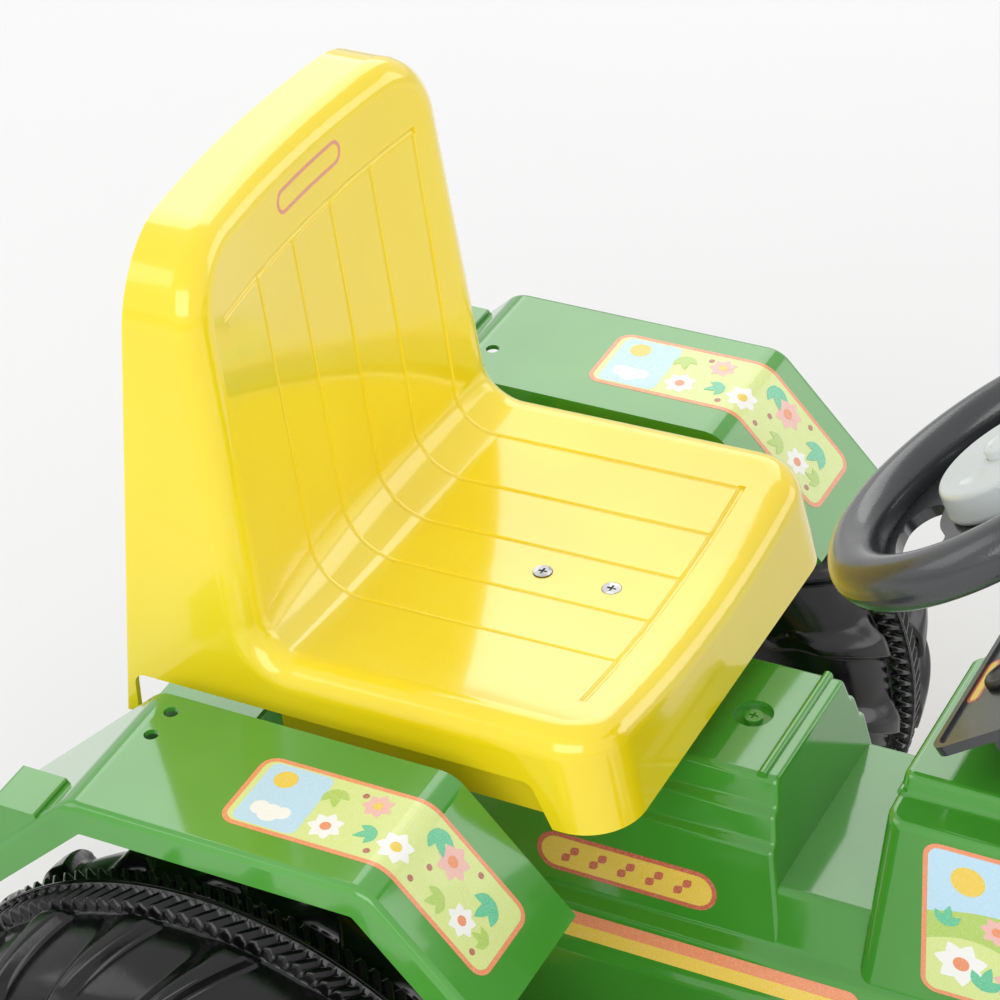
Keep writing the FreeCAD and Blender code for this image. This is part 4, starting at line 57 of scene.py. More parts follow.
# Tyre treads, in millimetres; a place runs from 0 at the band to 1 at the shoulder and 2 at the bead,
# and a row of places is written as first, last and count
COLUMNS_PER_RIB = 6
LUG_PROUD = 2.5
SHOULDER_SHARE = 0.59
BEAD_INSET_SHARE = 0.15
SIDEWALL_BULGE = 2.0
RIDGE_HALF = 1.4
RIDGE_STEP = 0.3
RIDGE_GROOVE = 0.8
RIB_DROP = 0.9
RIB_DEPTH = 4.4
RIB_KNOB = 2.6
RIB_SLANT = 1.1
RIB_HALF_SHARE = 0.27
RIB_EDGE_SHARE = 0.05
LUG_PLACES = (0.0, 0.25, 0.6, 0.85, 1.0, 1.4)
LUG_FRONT_SHARES = (-0.27, -0.05, 0.25, 0.46, 0.55, 0.6)
LUG_WIDTH_SHARES = (0.7, 0.46, 0.36, 0.33, 0.31, 0.27)
LUG_HEIGHT_SHARES = (0.85, 0.83, 0.94, 1.0, 0.62, 0.0)
LUG_STEEP_SHARE = 0.07
LUG_CREST_SHARE = 0.4
LUG_FOOT_SHARES = (0.015, 0.07)
LUG_STAGGER = 0.5
CROWN_PLACES = (0.0, 1.0, 26)
SHOULDER_PLACES = (1.05, 1.45, 9)
SIDEWALL_PLACES = (1.55, 2.0, 6)
RIDGE_ROW_SHARES = (0.0, 0.25, 0.5, 1.0)
BAR_ROWS = 5
KNOB_ROWS = 6
KNOB_ROW_SHARES = (0.8, 0.05)
RIB_TIP_SHARE = 0.6
REAR_TREAD = {"bore": 90.0, "band": 12.2, "lug": 8.0, "lugs": 20, "ribs": 140}
FRONT_TREAD = {"bore": 54.0, "band": 6.5, "lug": 5.0, "lugs": 16, "ribs": 80}

# Fender top line, and the sticker on it
FENDER_TOP_Z = 367.0
FENDER_CREASE_X = 89.4
FENDER_FALL = math.radians(49.05)
FENDER_CREASE_R = 16.0
FENDER_PRINT_REAR_X = 7.0
FENDER_PRINT_LENGTH = 148.0
FENDER_PRINT_WIDTH = 46.0
FENDER_PRINT_Y = 182.0

# Body walls that carry stickers, as (half width, height) at foot and top
PEDESTAL_WALL = ((63.0, 242.0), (55.0, 289.0))
HOOD_WALL = ((68.0, 242.0), (65.0, 338.0))
STRIPE_WALL = ((77.0, 221.0), (71.0, 238.0))
PEDESTAL_PRINT_MIDDLE = (129.0, 259.0)
PEDESTAL_PRINT_SIZE = (92.4, 20.7)
HOOD_PRINT_MIDDLE = (331.0, 290.0)
HOOD_PRINT_SIZE = (106.0, 86.0)
STRIPE_REAR_X = -88.0
STRIPE_FRONT_X = 251.0
STRIPE_MIDDLE = ((STRIPE_REAR_X + STRIPE_FRONT_X) / 2, 229.5)
STRIPE_HEIGHT = 13.0
STRIPE_SPLIT = 0.4
STRIPE_INSET = 0.3

# Labels on the backrest and the dash
BACK_X = -42.0
BACK_Z = 542.0
BACK_LEAN = math.radians(4.0)
BACK_DISH_R = 560.0
BACK_PRINT_MIDDLE = (4.0, 561.0)
BACK_PRINT_SIZE = (56.0, 12.0)
STEER_CENTRE = (293.3, 0.0, 493.1)
STEER_TILT = math.radians(35.0)
DASH_DROP = 91.0
DASH_SINK = 1.5
DASH_PRINT_MIDDLE = (3.0, -81.1)
DASH_PRINT_SIZE = (32.0, 7.4)
DASH_PRINT_BORDER = 1.6

# Turned caps on the dash and in the hub, as (radius, height) from foot to middle
CAP_STEPS = 48
PLUG_FORWARD = -68.0
PLUG_PROFILE = (
    (5.0, -3.0), (5.0, -0.2), (9.3, 0.0), (9.3, 2.2), (8.9, 3.0), (8.2, 3.6), (7.4, 3.8), (6.7, 3.5),
    (6.2, 2.9), (5.7, 2.8), (3.8, 3.3), (1.7, 3.6), (0.5, 3.65),
)
HORN_PROFILE = (
    (10.5, 3.7), (10.5, 5.6), (8.5, 5.7), (8.5, 11.4), (8.35, 12.2), (7.8, 12.9), (7.0, 13.25), (6.2, 13.2),
    (5.6, 12.8), (4.8, 12.8), (3.0, 13.2), (1.2, 13.4), (0.3, 13.42),
)

# Film of the stickers; a level counts steps above the lowest film
PRINT_LIFT = 0.12
PRINT_STEP = 0.07
PRINT_SINK = 0.1
PRINT_BORDER = 2.4
PRINT_CORNER_R = 8.0
RING_LINE = 1.7
EDGE_SHY = 0.1
ARC_STEPS = 24
CREASE_STEPS = 8
DISH_STEPS = 12
SHEET_LEVEL = 0
FIELD_LEVEL = 1
FAR_LEVEL = 1.5
NEAR_LEVEL = 1.8
MOTIF_LEVEL = 2
SUN_LEVEL = 2.5
LEAF_LEVEL = 3.6
EYE_LEVEL = 4
PETAL_STEP = 0.2
FILM_ROUGHNESS = 0.24
PALE_DOT_SHARE = 0.86

# Sticker motifs, as shares of their size, with turns in radians
FLOWER_PETALS = 7
FLOWER_TURN = 0.3
PETAL_WIDTH_SHARE = 0.62
EYE_SHARE = 0.3
SPRIG_FANS = ((-0.7, 0.8), (0.7, 0.8), (0.0, 1.0))
SPRIG_WIDTH_SHARE = 0.36
CLOUD_PUFFS = ((-1.0, 0.0, 0.8), (1.0, 0.0, 0.7), (0.0, 0.3, 1.0))

# Layouts in millimetres from a sheet's middle: flowers as (x, y, size, petal ink, eye ink),
# sprigs as (x, y, size, turn, ink), suns and clouds as (x, y, size), hills as (base, crest, waves)
FENDER_SKY_SHARES = (0.22, 0.96)
FENDER_SKY_BACK_SHARE = 0.37
FENDER_SUN = (-58, -11, 5.5)
FENDER_CLOUD = (-54, 9, 5.5)
FENDER_FLOWERS = (
    (-27, 9, 8.5, "white", "orange"),
    (-12, -11, 7.5, "pink", "gold"),
    (7, 8, 9.0, "white", "gold"),
    (31, -9, 9.5, "pink", "orange"),
    (50, 9, 8.0, "white", "orange"),
)
FENDER_SPRIGS = (
    (-34, -14, 12, 1.2, "lime"),
    (-4, 4, 11, 2.6, "teal"),
    (16, -15, 14, 0.7, "teal"),
    (38, 8, 12, 2.2, "lime"),
    (58, -12, 15, 1.9, "teal"),
    (66, 6, 10, 2.8, "lime"),
)
FENDER_DOTS = ((-20, -15), (-3, 16), (20, 15), (24, 3), (45, -16), (62, 16))
FENDER_DOT_R = 1.6
HOOD_FAR_HILL = (4.0, 6.0, 1.5)
HOOD_NEAR_HILL = (-12.0, 5.0, 2.5)
HOOD_SUN = (-32, 26, 8.0)
HOOD_CLOUD = (17, 27, 8.0)
HOOD_FLOWERS = (
    (-34, -22, 13, "white", "orange"),
    (-8, -26, 11, "pink", "gold"),
    (18, -20, 13, "white", "gold"),
    (38, -28, 9, "pink", "orange"),
    (-18, 2, 8, "pink", "orange"),
    (34, 4, 9, "white", "orange"),
)
HOOD_SPRIGS = (
    (-24, -34, 15, 1.3, "teal"),
    (4, -34, 16, 1.8, "teal"),
    (28, -36, 14, 1.2, "teal"),
    (-42, -2, 12, 1.4, "teal"),
)
LEAF_PAIRS = 5
LEAF_PAIR_PITCHES = 6.4
LEAF_PAIR_SIZE = (6.4, 4.2)
LEAF_PAIR_TURNS = (math.pi * 0.25, math.pi * 1.25)

# Studio, in metres and watts: lamps as (name, place, size, power)
FLOOR_SIZE = 40.0
FLOOR_DROP = 0.0005
FLOOR_ROUGHNESS = 0.9
FLOOR_GREYS = (230, 233)
WORLD_LIGHT = 0.76
WORLD_SEEN = 0.95
LAMP_TARGET = (0.0, 0.0, 0.3)
LAMPS = (
    ("key", (-1.1, 1.9, 2.0), (2.2, 1.6), 21.0),
    ("fill", (-1.9, -1.2, 1.7), (1.4, 1.4), 8.0),
    ("front", (0.8, -2.9, 1.9), (3.0, 1.8), 43.0),
    ("side", (1.9, 2.1, 1.1), (1.6, 1.2), 9.0),
)


def colour(red, green, blue):
    """A linear colour from screen values of 0 to 255."""
    linear = []
    for part in (red, green, blue):
        share = part / 255
        linear.append(share / 12.92 if share < 0.04045 else ((share + 0.055) / 1.055) ** 2.4)
    return (*linear, 1.0)


def at(x, y, z):
    """A point in metres from places in millimetres, with x from the rear axle."""
    return Vector(((x - ORIGIN_X) * MM, y * MM, z * MM))


def add_object(name, data):
    piece = bpy.data.objects.new(name, data)
    bpy.context.scene.collection.objects.link(piece)
    return piece


# Shader helpers


def new_material(name):
    material = bpy.data.materials.new(name)
    material.use_nodes = True
    tree = material.node_tree
    return material, tree, tree.nodes["Principled BSDF"]


def feed(tree, node, inputs):
    """Links or sets a node's inputs."""
    for key, value in inputs.items():
        if isinstance(value, bpy.types.NodeSocket):
            tree.links.new(value, node.inputs[key])
        else:
            node.inputs[key].default_value = value


def add_node(tree, kind, inputs=None, **settings):
    node = tree.nodes.new(kind)
    for key, value in settings.items():
        setattr(node, key, value)
    feed(tree, node, inputs or {})
    return node


def coords(tree, stretch=(1.0, 1.0, 1.0)):
    """The object's own coordinates, stretched along its axes."""
    source = add_node(tree, "ShaderNodeTexCoord").outputs["Object"]
    return add_node(tree, "ShaderNodeMapping", {"Vector": source, "Scale": stretch}).outputs["Vector"]


def noise(tree, scale, detail=3.0, stretch=(1.0, 1.0, 1.0)):
    inputs = {"Vector": coords(tree, stretch), "Scale": scale, "Detail": detail}
    return add_node(tree, "ShaderNodeTexNoise", inputs).outputs[0]


def cells(tree, scale, output="Distance"):
    inputs = {"Vector": coords(tree), "Scale": scale}
    return add_node(tree, "ShaderNodeTexVoronoi", inputs).outputs[output]


def spread(tree, value, first, last, start=0.3, end=0.7):
    """Maps a value's run from start to end onto first to last."""
    inputs = {"Value": value, "From Min": start, "From Max": end, "To Min": first, "To Max": last}
    return add_node(tree, "ShaderNodeMapRange", inputs).outputs[0]


def maths(tree, operation, first, second=0.0, third=0.0):
    inputs = {0: first, 1: second, 2: third}
    return add_node(tree, "ShaderNodeMath", inputs, operation=operation).outputs[0]


def ramp(tree, value, *stops):
    node = add_node(tree, "ShaderNodeValToRGB", {"Fac": value})
    elements = node.color_ramp.elements
    while len(elements) < len(stops):
        elements.new(1.0)
    for element, (place, shade) in zip(elements, stops):
        element.position = place
        element.color = shade
    return node.outputs["Color"]


def bumps(tree, shader, *layers):
    """Stacks bump layers of (height, strength, distance) and feeds them to the shader."""
    normal = None
    for height, strength, distance in layers:
        inputs = {"Height": height, "Strength": strength, "Distance": distance}
        if normal is not None:
            inputs["Normal"] = normal
        normal = add_node(tree, "ShaderNodeBump", inputs).outputs["Normal"]
    tree.links.new(normal, shader.inputs["Normal"])


# Materials


def gloss_plastic(name, deep, main, pale, roughness, coat):
    """Polished moulded plastic: flow clouds, hazy rubbed patches, fine scratches and orange peel."""
    material, tree, shader = new_material(name)
    flow = noise(tree, scale=7.0, detail=4.0, stretch=(1.0, 1.0, 0.4))
    haze = spread(tree, noise(tree, scale=11.0, detail=6.0), first=roughness * 0.8, last=roughness * 1.35)
    lines = noise(tree, scale=420.0, detail=2.0, stretch=(0.05, 1.0, 1.0))
    scratch = spread(tree, lines, first=0.0, last=0.09, start=0.66, end=0.8)
    feed(tree, shader, {
        "Base Color": ramp(tree, flow, (0.3, deep), (0.5, main), (0.72, pale)),
        "Roughness": maths(tree, "ADD", haze, scratch),
        "Coat Weight": coat,
        "Coat Roughness": 0.06,
        "IOR": 1.5,
    })
    bumps(
        tree, shader,
        (noise(tree, scale=18.0, detail=2.0), 0.25, 0.0012),
        (noise(tree, scale=520.0, detail=2.0), 0.06, 0.0003),
    )
    return material


def tyre_plastic():
    """Blow-moulded black plastic: satin, with a dull bloom and dusty hollows."""
    material, tree, shader = new_material("tyre_black_plastic")
    bloom = noise(tree, scale=16.0, detail=5.0)
    deep, main, dusty = colour(9, 9, 10), colour(14, 14, 15), colour(24, 23, 23)
    grit = spread(tree, noise(tree, scale=240.0, detail=3.0), first=-0.04, last=0.06)
    feed(tree, shader, {
        "Base Color": ramp(tree, bloom, (0.3, deep), (0.6, main), (0.85, dusty)),
        "Roughness": maths(tree, "ADD", spread(tree, bloom, first=0.13, last=0.22), grit),
        "Specular IOR Level": 0.42,
    })
    bumps(
        tree, shader,
        (noise(tree, scale=30.0, detail=3.0), 0.12, 0.001),
        (noise(tree, scale=700.0, detail=2.0), 0.06, 0.0004),
    )
    return material


def grained_plastic(name, deep, main, roughness, coat=0.1):
    """Moulded plastic with a fine leather grain and slightly polished handling marks."""
    material, tree, shader = new_material(name)
    rub = noise(tree, scale=14.0, detail=4.0)
    feed(tree, shader, {
        "Base Color": ramp(tree, rub, (0.3, deep), (0.7, main)),
        "Roughness": spread(tree, rub, first=roughness * 1.15, last=roughness * 0.85),
        "Coat Weight": coat,
        "Coat Roughness": 0.12,
    })
    bumps(
        tree, shader,
        (cells(tree, scale=900.0), 0.16, 0.0004),
        (noise(tree, scale=25.0, detail=2.0), 0.15, 0.0008),
    )
    return material


def plated_steel(name, deep, main, roughness):
    """Zinc-plated steel: spangled, with fine drawn lines and dull stains."""
    material, tree, shader = new_material(name)
    spangle = cells(tree, scale=260.0, output="Color")
    shade = add_node(tree, "ShaderNodeRGBToBW", {"Color": spangle}).outputs[0]
    stain = noise(tree, scale=40.0, detail=5.0)
    feed(tree, shader, {
        "Base Color": ramp(tree, shade, (0.1, deep), (0.9, main)),
        "Metallic": 1.0,
        "Roughness": spread(tree, stain, first=roughness * 0.7, last=roughness * 1.5),
    })
    bumps(tree, shader, (noise(tree, scale=900.0, detail=2.0, stretch=(1.0, 0.08, 1.0)), 0.1, 0.0002))
    return material


def powder_coat(name, deep, main, roughness):
    """Powder-coated steel: pebbly skin with a few dull scuffs."""
    material, tree, shader = new_material(name)
    scuff = noise(tree, scale=20.0, detail=6.0)
    feed(tree, shader, {
        "Base Color": ramp(tree, scuff, (0.3, deep), (0.75, main)),
        "Roughness": spread(tree, scuff, first=roughness * 0.8, last=roughness * 1.3),
    })
    bumps(tree, shader, (noise(tree, scale=650.0, detail=2.0), 0.15, 0.0004))
    return material


def lamp_plastic():
    """Pressed clear lens over a pale reflector, with upright flutes; its colour carries painted light and
    shade in bands across the flutes.
    """
    material, tree, shader = new_material("lamp_lens")
    waves = {"Vector": coords(tree), "Scale": 90.0, "Distortion": 0.0}
    flutes = add_node(tree, "ShaderNodeTexWave", waves, bands_direction="Y").outputs[1]
    feed(tree, shader, {
        # painted light and shade: the colour runs from darker to paler across each flute
        "Base Color": ramp(tree, flutes, (0.0, colour(205, 208, 206)), (1.0, colour(240, 241, 236))),
        "Roughness": spread(tree, noise(tree, scale=60.0), first=0.08, last=0.18),
        "Coat Weight": 0.6,
    })
    bumps(tree, shader, (flutes, 0.5, 0.0008))
    return material


def printed_film(name, ink):
    """Printed vinyl film: fine screen dots in the ink, a slight ripple and a smooth clear face."""
    material, tree, shader = new_material(name)
    paler = tuple(1.0 - (1.0 - part) * PALE_DOT_SHARE for part in ink[:3]) + (1.0,)
    worn = noise(tree, scale=30.0, detail=5.0)
    feed(tree, shader, {
        "Base Color": ramp(tree, cells(tree, scale=1400.0), (0.25, ink), (0.75, paler)),
        "Roughness": spread(tree, worn, first=FILM_ROUGHNESS * 0.8, last=FILM_ROUGHNESS * 1.4),
        "Coat Weight": 0.25,
    })
    bumps(tree, shader, (noise(tree, scale=45.0, detail=2.0), 0.12, 0.0006))
    return material


YELLOW = gloss_plastic(
    "seat_yellow_plastic", colour(242, 212, 16), colour(248, 221, 26), colour(250, 227, 48),
    roughness=0.16, coat=0.85,
)
RIM_YELLOW = gloss_plastic(
    "rim_yellow_plastic", colour(232, 196, 30), colour(242, 208, 38), colour(248, 218, 58),
    roughness=0.28, coat=0.2,
)
GREEN = gloss_plastic(
    "body_green_plastic", colour(60, 140, 38), colour(70, 152, 48), colour(82, 160, 60),
    roughness=0.12, coat=0.7,
)
BLACK_TYRE = tyre_plastic()
DARK_GREY = grained_plastic(
    "trim_dark_grey", colour(40, 42, 44), colour(54, 56, 58), roughness=0.26, coat=0.5,
)
PALE_GREY = grained_plastic(
    "hub_pale_grey", colour(196, 202, 202), colour(210, 216, 215), roughness=0.3, coat=0.3,
)
BLACK = grained_plastic("black_plastic", colour(20, 20, 21), colour(32, 32, 33), roughness=0.45)
STEEL = plated_steel("zinc_steel", colour(126, 127, 127), colour(176, 177, 176), roughness=0.34)
CHAIN_STEEL = plated_steel("oiled_chain_steel", colour(70, 66, 60), colour(130, 124, 115), roughness=0.38)
FRAME_BLACK = powder_coat("frame_black_coat", colour(18, 18, 18), colour(30, 30, 31), roughness=0.4)
LENS = lamp_plastic()

INK_COLOURS = {
    "orange": (238, 142, 84),
    "red": (204, 92, 50),
    "rose": (226, 140, 110),
    "gold": (240, 204, 50),
    "sky": (186, 222, 242),
    "meadow": (216, 230, 138),
    "lime": (176, 208, 84),
    "teal": (84, 196, 146),
    "brown": (176, 96, 70),
    "white": (246, 245, 240),
    "pink": (240, 184, 172),
}
INKS = {name: printed_film("ink_" + name, colour(*shade)) for name, shade in INK_COLOURS.items()}

FINISHES = (
    (YELLOW, ("seat",)),
    (RIM_YELLOW, ("rear_right_rim", "rear_left_rim", "front_right_rim", "front_left_rim")),
    (GREEN, ("body_shell", "right_fender", "left_fender", "rear_crossmember", "shell_screws")),
    (BLACK_TYRE, ("rear_right_tyre", "rear_left_tyre", "front_right_tyre", "front_left_tyre")),
    (DARK_GREY, ("steering_wheel", "dash_panel")),
    (PALE_GREY, ("steering_hub_cover",)),
    (BLACK, (
        "dash_plug", "horn_button", "grille", "undertray", "seat_riser",
        "right_pedal", "left_pedal", "right_pedal_cap", "left_pedal_cap",
        "rear_right_hub_cap", "rear_left_hub_cap", "front_right_hub_cap", "front_left_hub_cap",
        "steering_upper_bush", "steering_lower_bush", "rear_axle_bushes", "crank_bushes",
    )),
    (FRAME_BLACK, (
        "chassis_frame", "front_axle_beam", "right_knuckle", "left_knuckle", "tow_hitch", "tie_rod",
    )),
    (CHAIN_STEEL, ("drive_chain", "rear_sprocket", "crank_sprocket")),
    (LENS, ("headlights",)),
)


def paint_nodes():
    for node in nodes.values():
        node.data.materials.clear()
        node.data.materials.append(STEEL)
    for material, names in FINISHES:
        for name in names:
            nodes[name].data.materials[0] = material


# Treads


def smooth_step(value, start, end):
    """Rises smoothly from 0 to 1 between two values, for arrays."""
    share = np.clip((value - start) / (end - start), 0.0, 1.0)
    return share * share * (3.0 - 2.0 * share)


def carcass_line(tread, radius, half):
    """Places from band to bead, with the width, radius and outward normal at each."""
    crown_r = radius - tread["lug"]
    shoulder_r = tread["bore"] + (radius - tread["bore"]) * SHOULDER_SHARE
    bead = half * (1.0 - BEAD_INSET_SHARE)
    rows = (CROWN_PLACES, SHOULDER_PLACES, SIDEWALL_PLACES)
    places = np.concatenate([np.linspace(*row) for row in rows])
    over = np.clip(places, 0.0, 1.0) * math.pi / 2
    down = np.clip(places - 1.0, 0.0, 1.0)
    width = tread["band"] + (half - tread["band"]) * np.sin(over)
    width += (bead - half) * down + 4.0 * SIDEWALL_BULGE * down * (1.0 - down)
    line_r = shoulder_r + (crown_r - shoulder_r) * np.cos(over) - (shoulder_r - tread["bore"]) * down
    step_w, step_r = np.gradient(width), np.gradient(line_r)
    length = np.hypot(step_w, step_r)
    return places, width, line_r, -step_r / length, step_w / length


def lug_rows(tread, radius, half, turns, phase):
    """Rows of width, radius and turn over the lugs of one side; columns follow the lugs' front edges."""
    places, width, line_r, out_w, out_r = carcass_line(tread, radius, half)
    front = np.interp(places, LUG_PLACES, LUG_FRONT_SHARES)[:, None]
    wide = np.interp(places, LUG_PLACES, LUG_WIDTH_SHARES)[:, None]
    high = np.interp(places, LUG_PLACES, LUG_HEIGHT_SHARES)[:, None] * tread["lug"]
    high = high * smooth_step(places, *LUG_FOOT_SHARES)[:, None]
    across = np.mod(turns[None, :] * tread["lugs"] + phase, 1.0)
    rise = smooth_step(across, 0.0, LUG_STEEP_SHARE)
    fall = smooth_step(across, wide * LUG_CREST_SHARE, wide)
    lift = high * rise * (1.0 - fall)
    row_w = np.minimum(width[:, None] + out_w[:, None] * lift, half + LUG_PROUD)
    row_r = line_r[:, None] + out_r[:, None] * lift
    turn = turns[None, :] + RIB_SLANT / tread["ribs"] + (front - front[0]) / tread["lugs"]
    return row_w, row_r, turn


def band_rows(tread, radius, turns):
    """Rows of width, radius and turn over half of the centre band; columns follow the slanted ribs."""
    band = tread["band"]
    start = RIDGE_HALF + RIDGE_STEP
    ridge = [RIDGE_HALF * share for share in RIDGE_ROW_SHARES]
    bars = np.linspace(start, band - RIB_KNOB, BAR_ROWS)
    knob_in, knob_out = (band - RIB_KNOB * share for share in KNOB_ROW_SHARES)
    knobs = np.linspace(knob_in, knob_out, KNOB_ROWS)
    widths = np.concatenate([ridge, bars, knobs])
    knob = np.clip((widths - band + RIB_KNOB) / RIB_KNOB, 0.0, 1.0)[:, None]
    round_off = np.sqrt(1.0 - knob * knob)
    slant = np.clip((widths - start) / (band - start), 0.0, 1.0)[:, None] * RIB_SLANT
    across = np.abs(np.mod(turns[None, :] * tread["ribs"], 1.0) - 0.5)
    half_rib = RIB_HALF_SHARE * (RIB_TIP_SHARE + (1.0 - RIB_TIP_SHARE) * round_off)
    rib = (1.0 - smooth_step(across, half_rib - RIB_EDGE_SHARE, half_rib + RIB_EDGE_SHARE)) * round_off
    floor_r = radius - RIB_DEPTH - (tread["lug"] - RIB_DEPTH) * knob ** 2
    row_r = floor_r + (radius - RIB_DROP - floor_r) * rib
    row_r[1:len(ridge)] = radius
    row_r[0] = radius - RIDGE_GROOVE
    row_w = np.broadcast_to(widths[:, None], row_r.shape)
    return row_w, row_r, turns[None, :] + slant / tread["ribs"]


def tread_rows(tread, radius, half, columns):
    """All rows of a tyre from one bead over the crown to the other."""
    turns = np.arange(columns) / columns
    sides = []
    for hand, phase in ((1.0, 0.0), (-1.0, LUG_STAGGER)):
        band = band_rows(tread, radius, turns)
        lugs = lug_rows(tread, radius, half, turns, phase)
        row_w, row_r, turn = (np.concatenate(pair) for pair in zip(band, lugs))
        sides.append((row_w * hand, row_r, turn))
    return [np.concatenate([first[::-1], second[1:]]) for first, second in zip(*sides)]


def add_tyre(node, body, tread, side):
    """A moulded tyre with swept lugs and a ribbed centre band, in place of its plain solid."""
    low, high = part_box(node)
    centre = (np.array(low) + np.array(high)) / 2
    radius = (high[2] - low[2]) / 2 / MM
    half = (high[1] - low[1]) / 2 / MM - LUG_PROUD
    columns = tread["ribs"] * COLUMNS_PER_RIB
    row_w, row_r, turn = tread_rows(tread, radius, half, columns)
    angle = math.pi / 2 + 2.0 * math.pi * turn
    points = np.stack([row_r * np.cos(angle), row_w * side, row_r * np.sin(angle)], axis=2) * MM + centre
    index = np.arange(row_r.size).reshape(row_r.shape)
    ahead = np.roll(index, -1, axis=1)
    below, below_ahead = np.roll(index, -1, axis=0), np.roll(ahead, -1, axis=0)
    corners = (index, ahead, below_ahead, below) if side > 0 else (index, below, below_ahead, ahead)
    faces = np.stack(corners, axis=2).reshape(-1, 4)
    mesh = bpy.data.meshes.new(node + "_tread")
    mesh.from_pydata(points.reshape(-1, 3).tolist(), [], faces.tolist())
    mesh.polygons.foreach_set("use_smooth", np.ones(len(faces), dtype=bool))
    mesh.materials.append(BLACK_TYRE)
    piece = add_object(node + "_tread", mesh)
    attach(piece, body)
    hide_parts(node)


def add_tyres():
    add_tyre("rear_right_tyre", "rear_axle", REAR_TREAD, -1)
    add_tyre("rear_left_tyre", "rear_left_wheel", REAR_TREAD, 1)
    add_tyre("front_right_tyre", "front_right_wheel", FRONT_TREAD, -1)
    add_tyre("front_left_tyre", "front_left_wheel", FRONT_TREAD, 1)


# Flat outlines for stickers, in millimetres


def rounded_box(width, height, radius):
    outline = []
    for index, (x, y) in enumerate(((1, 1), (-1, 1), (-1, -1), (1, -1))):
        for step in range(ARC_STEPS // 4 + 1):
            angle = math.pi / 2 * (index + step * 4 / ARC_STEPS)
            outline.append((
                x * (width / 2 - radius) + radius * math.cos(angle),
                y * (height / 2 - radius) + radius * math.sin(angle),
            ))
    return outline


def disc(x, y, radius):
    angles = [2 * math.pi * step / ARC_STEPS for step in range(ARC_STEPS)]
    return [(x + radius * math.cos(a), y + radius * math.sin(a)) for a in angles]


def leaf(x, y, length, width, turn):
    """A pointed leaf that starts at a place and grows in a direction."""
    half = ARC_STEPS // 2
    edge = [(length * step / half, width / 2 * math.sin(math.pi * step / half)) for step in range(half + 1)]
    edge += [(along, -across) for along, across in edge[-2:0:-1]]
    cos, sin = math.cos(turn), math.sin(turn)
    return [(x + a * cos - b * sin, y + a * sin + b * cos) for a, b in edge]


def flower(x, y, size, petal_ink, eye_ink):
    """Layers of a plain flower seen from above."""
    layers = []
    for index in range(FLOWER_PETALS):
        turn = 2 * math.pi * index / FLOWER_PETALS + FLOWER_TURN
        petal = leaf(x, y, size, size * PETAL_WIDTH_SHARE, turn)
        layers.append((petal, MOTIF_LEVEL + index * PETAL_STEP, petal_ink))
    layers.append((disc(x, y, size * EYE_SHARE), EYE_LEVEL, eye_ink))
    return layers


def sprig(x, y, size, turn, ink):
    """Layers of three leaves that fan out from one place."""
    layers = []
    for index, (fan, reach) in enumerate(SPRIG_FANS):
        blade = leaf(x, y, size * reach, size * SPRIG_WIDTH_SHARE, turn + fan)
        layers.append((blade, LEAF_LEVEL + index * PETAL_STEP, ink))
    return layers


def cloud(x, y, size):
    """Layers of three discs that make a plain cloud."""
    layers = []
    for index, (along, up, share) in enumerate(CLOUD_PUFFS):
        puff = disc(x + along * size, y + up * size, size * share)
        layers.append((puff, MOTIF_LEVEL + index * PETAL_STEP, "white"))
    return layers


def garden(flowers, sprigs):
    layers = []
    for spot in flowers:
        layers += flower(*spot)
    for spot in sprigs:
        layers += sprig(*spot)
    return layers


def hill(width, height, base, crest, waves):
    """The part of a sheet below a wavy line, kept inside the sheet's rounded edge."""
    half = width / 2
    steps = ARC_STEPS * 2
    line = []
    for step in range(steps + 1):
        x = half - width * step / steps
        line.append((x, base + crest * math.sin(waves * math.pi * (x + half) / width)))
    edge = rounded_box(width, height, PRINT_CORNER_R - PRINT_BORDER)
    return line + edge[len(edge) // 2:]


def sheet_layers(width, height, radius, border_ink, field_ink, border=PRINT_BORDER):
    """A sheet with a border of even width round its field."""
    field = rounded_box(width - 2 * border, height - 2 * border, radius - border)
    return [(rounded_box(width, height, radius), SHEET_LEVEL, border_ink), (field, FIELD_LEVEL, field_ink)]


def ring_layers(width, height):
    """A plain printed outline with rounded ends, open inside."""
    outer = rounded_box(width, height, height / 2 - EDGE_SHY)
    inner = rounded_box(width - 2 * RING_LINE, height - 2 * RING_LINE, height / 2 - RING_LINE - EDGE_SHY)
    half = len(outer) // 2
    halves = (slice(None, half + 1), slice(half, None))
    outer.append(outer[0])
    inner.append(inner[0])
    return [(outer[part] + inner[part][::-1], SHEET_LEVEL, "rose") for part in halves]


# Stickers


def add_slip(build, outline, lift, ink_index):
    """A closed thin slip of film over an outline, with its foot just under the surface."""
    upper = [build.verts.new((x, y, lift)) for x, y in outline]
    lower = [build.verts.new((x, y, -PRINT_SINK)) for x, y in outline]
    faces = [build.faces.new(upper), build.faces.new(lower[::-1])]
    for index, corner in enumerate(upper):
        before = index - 1
        faces.append(build.faces.new((upper[before], lower[before], lower[index], corner)))
    for face in faces:
        face.material_index = ink_index


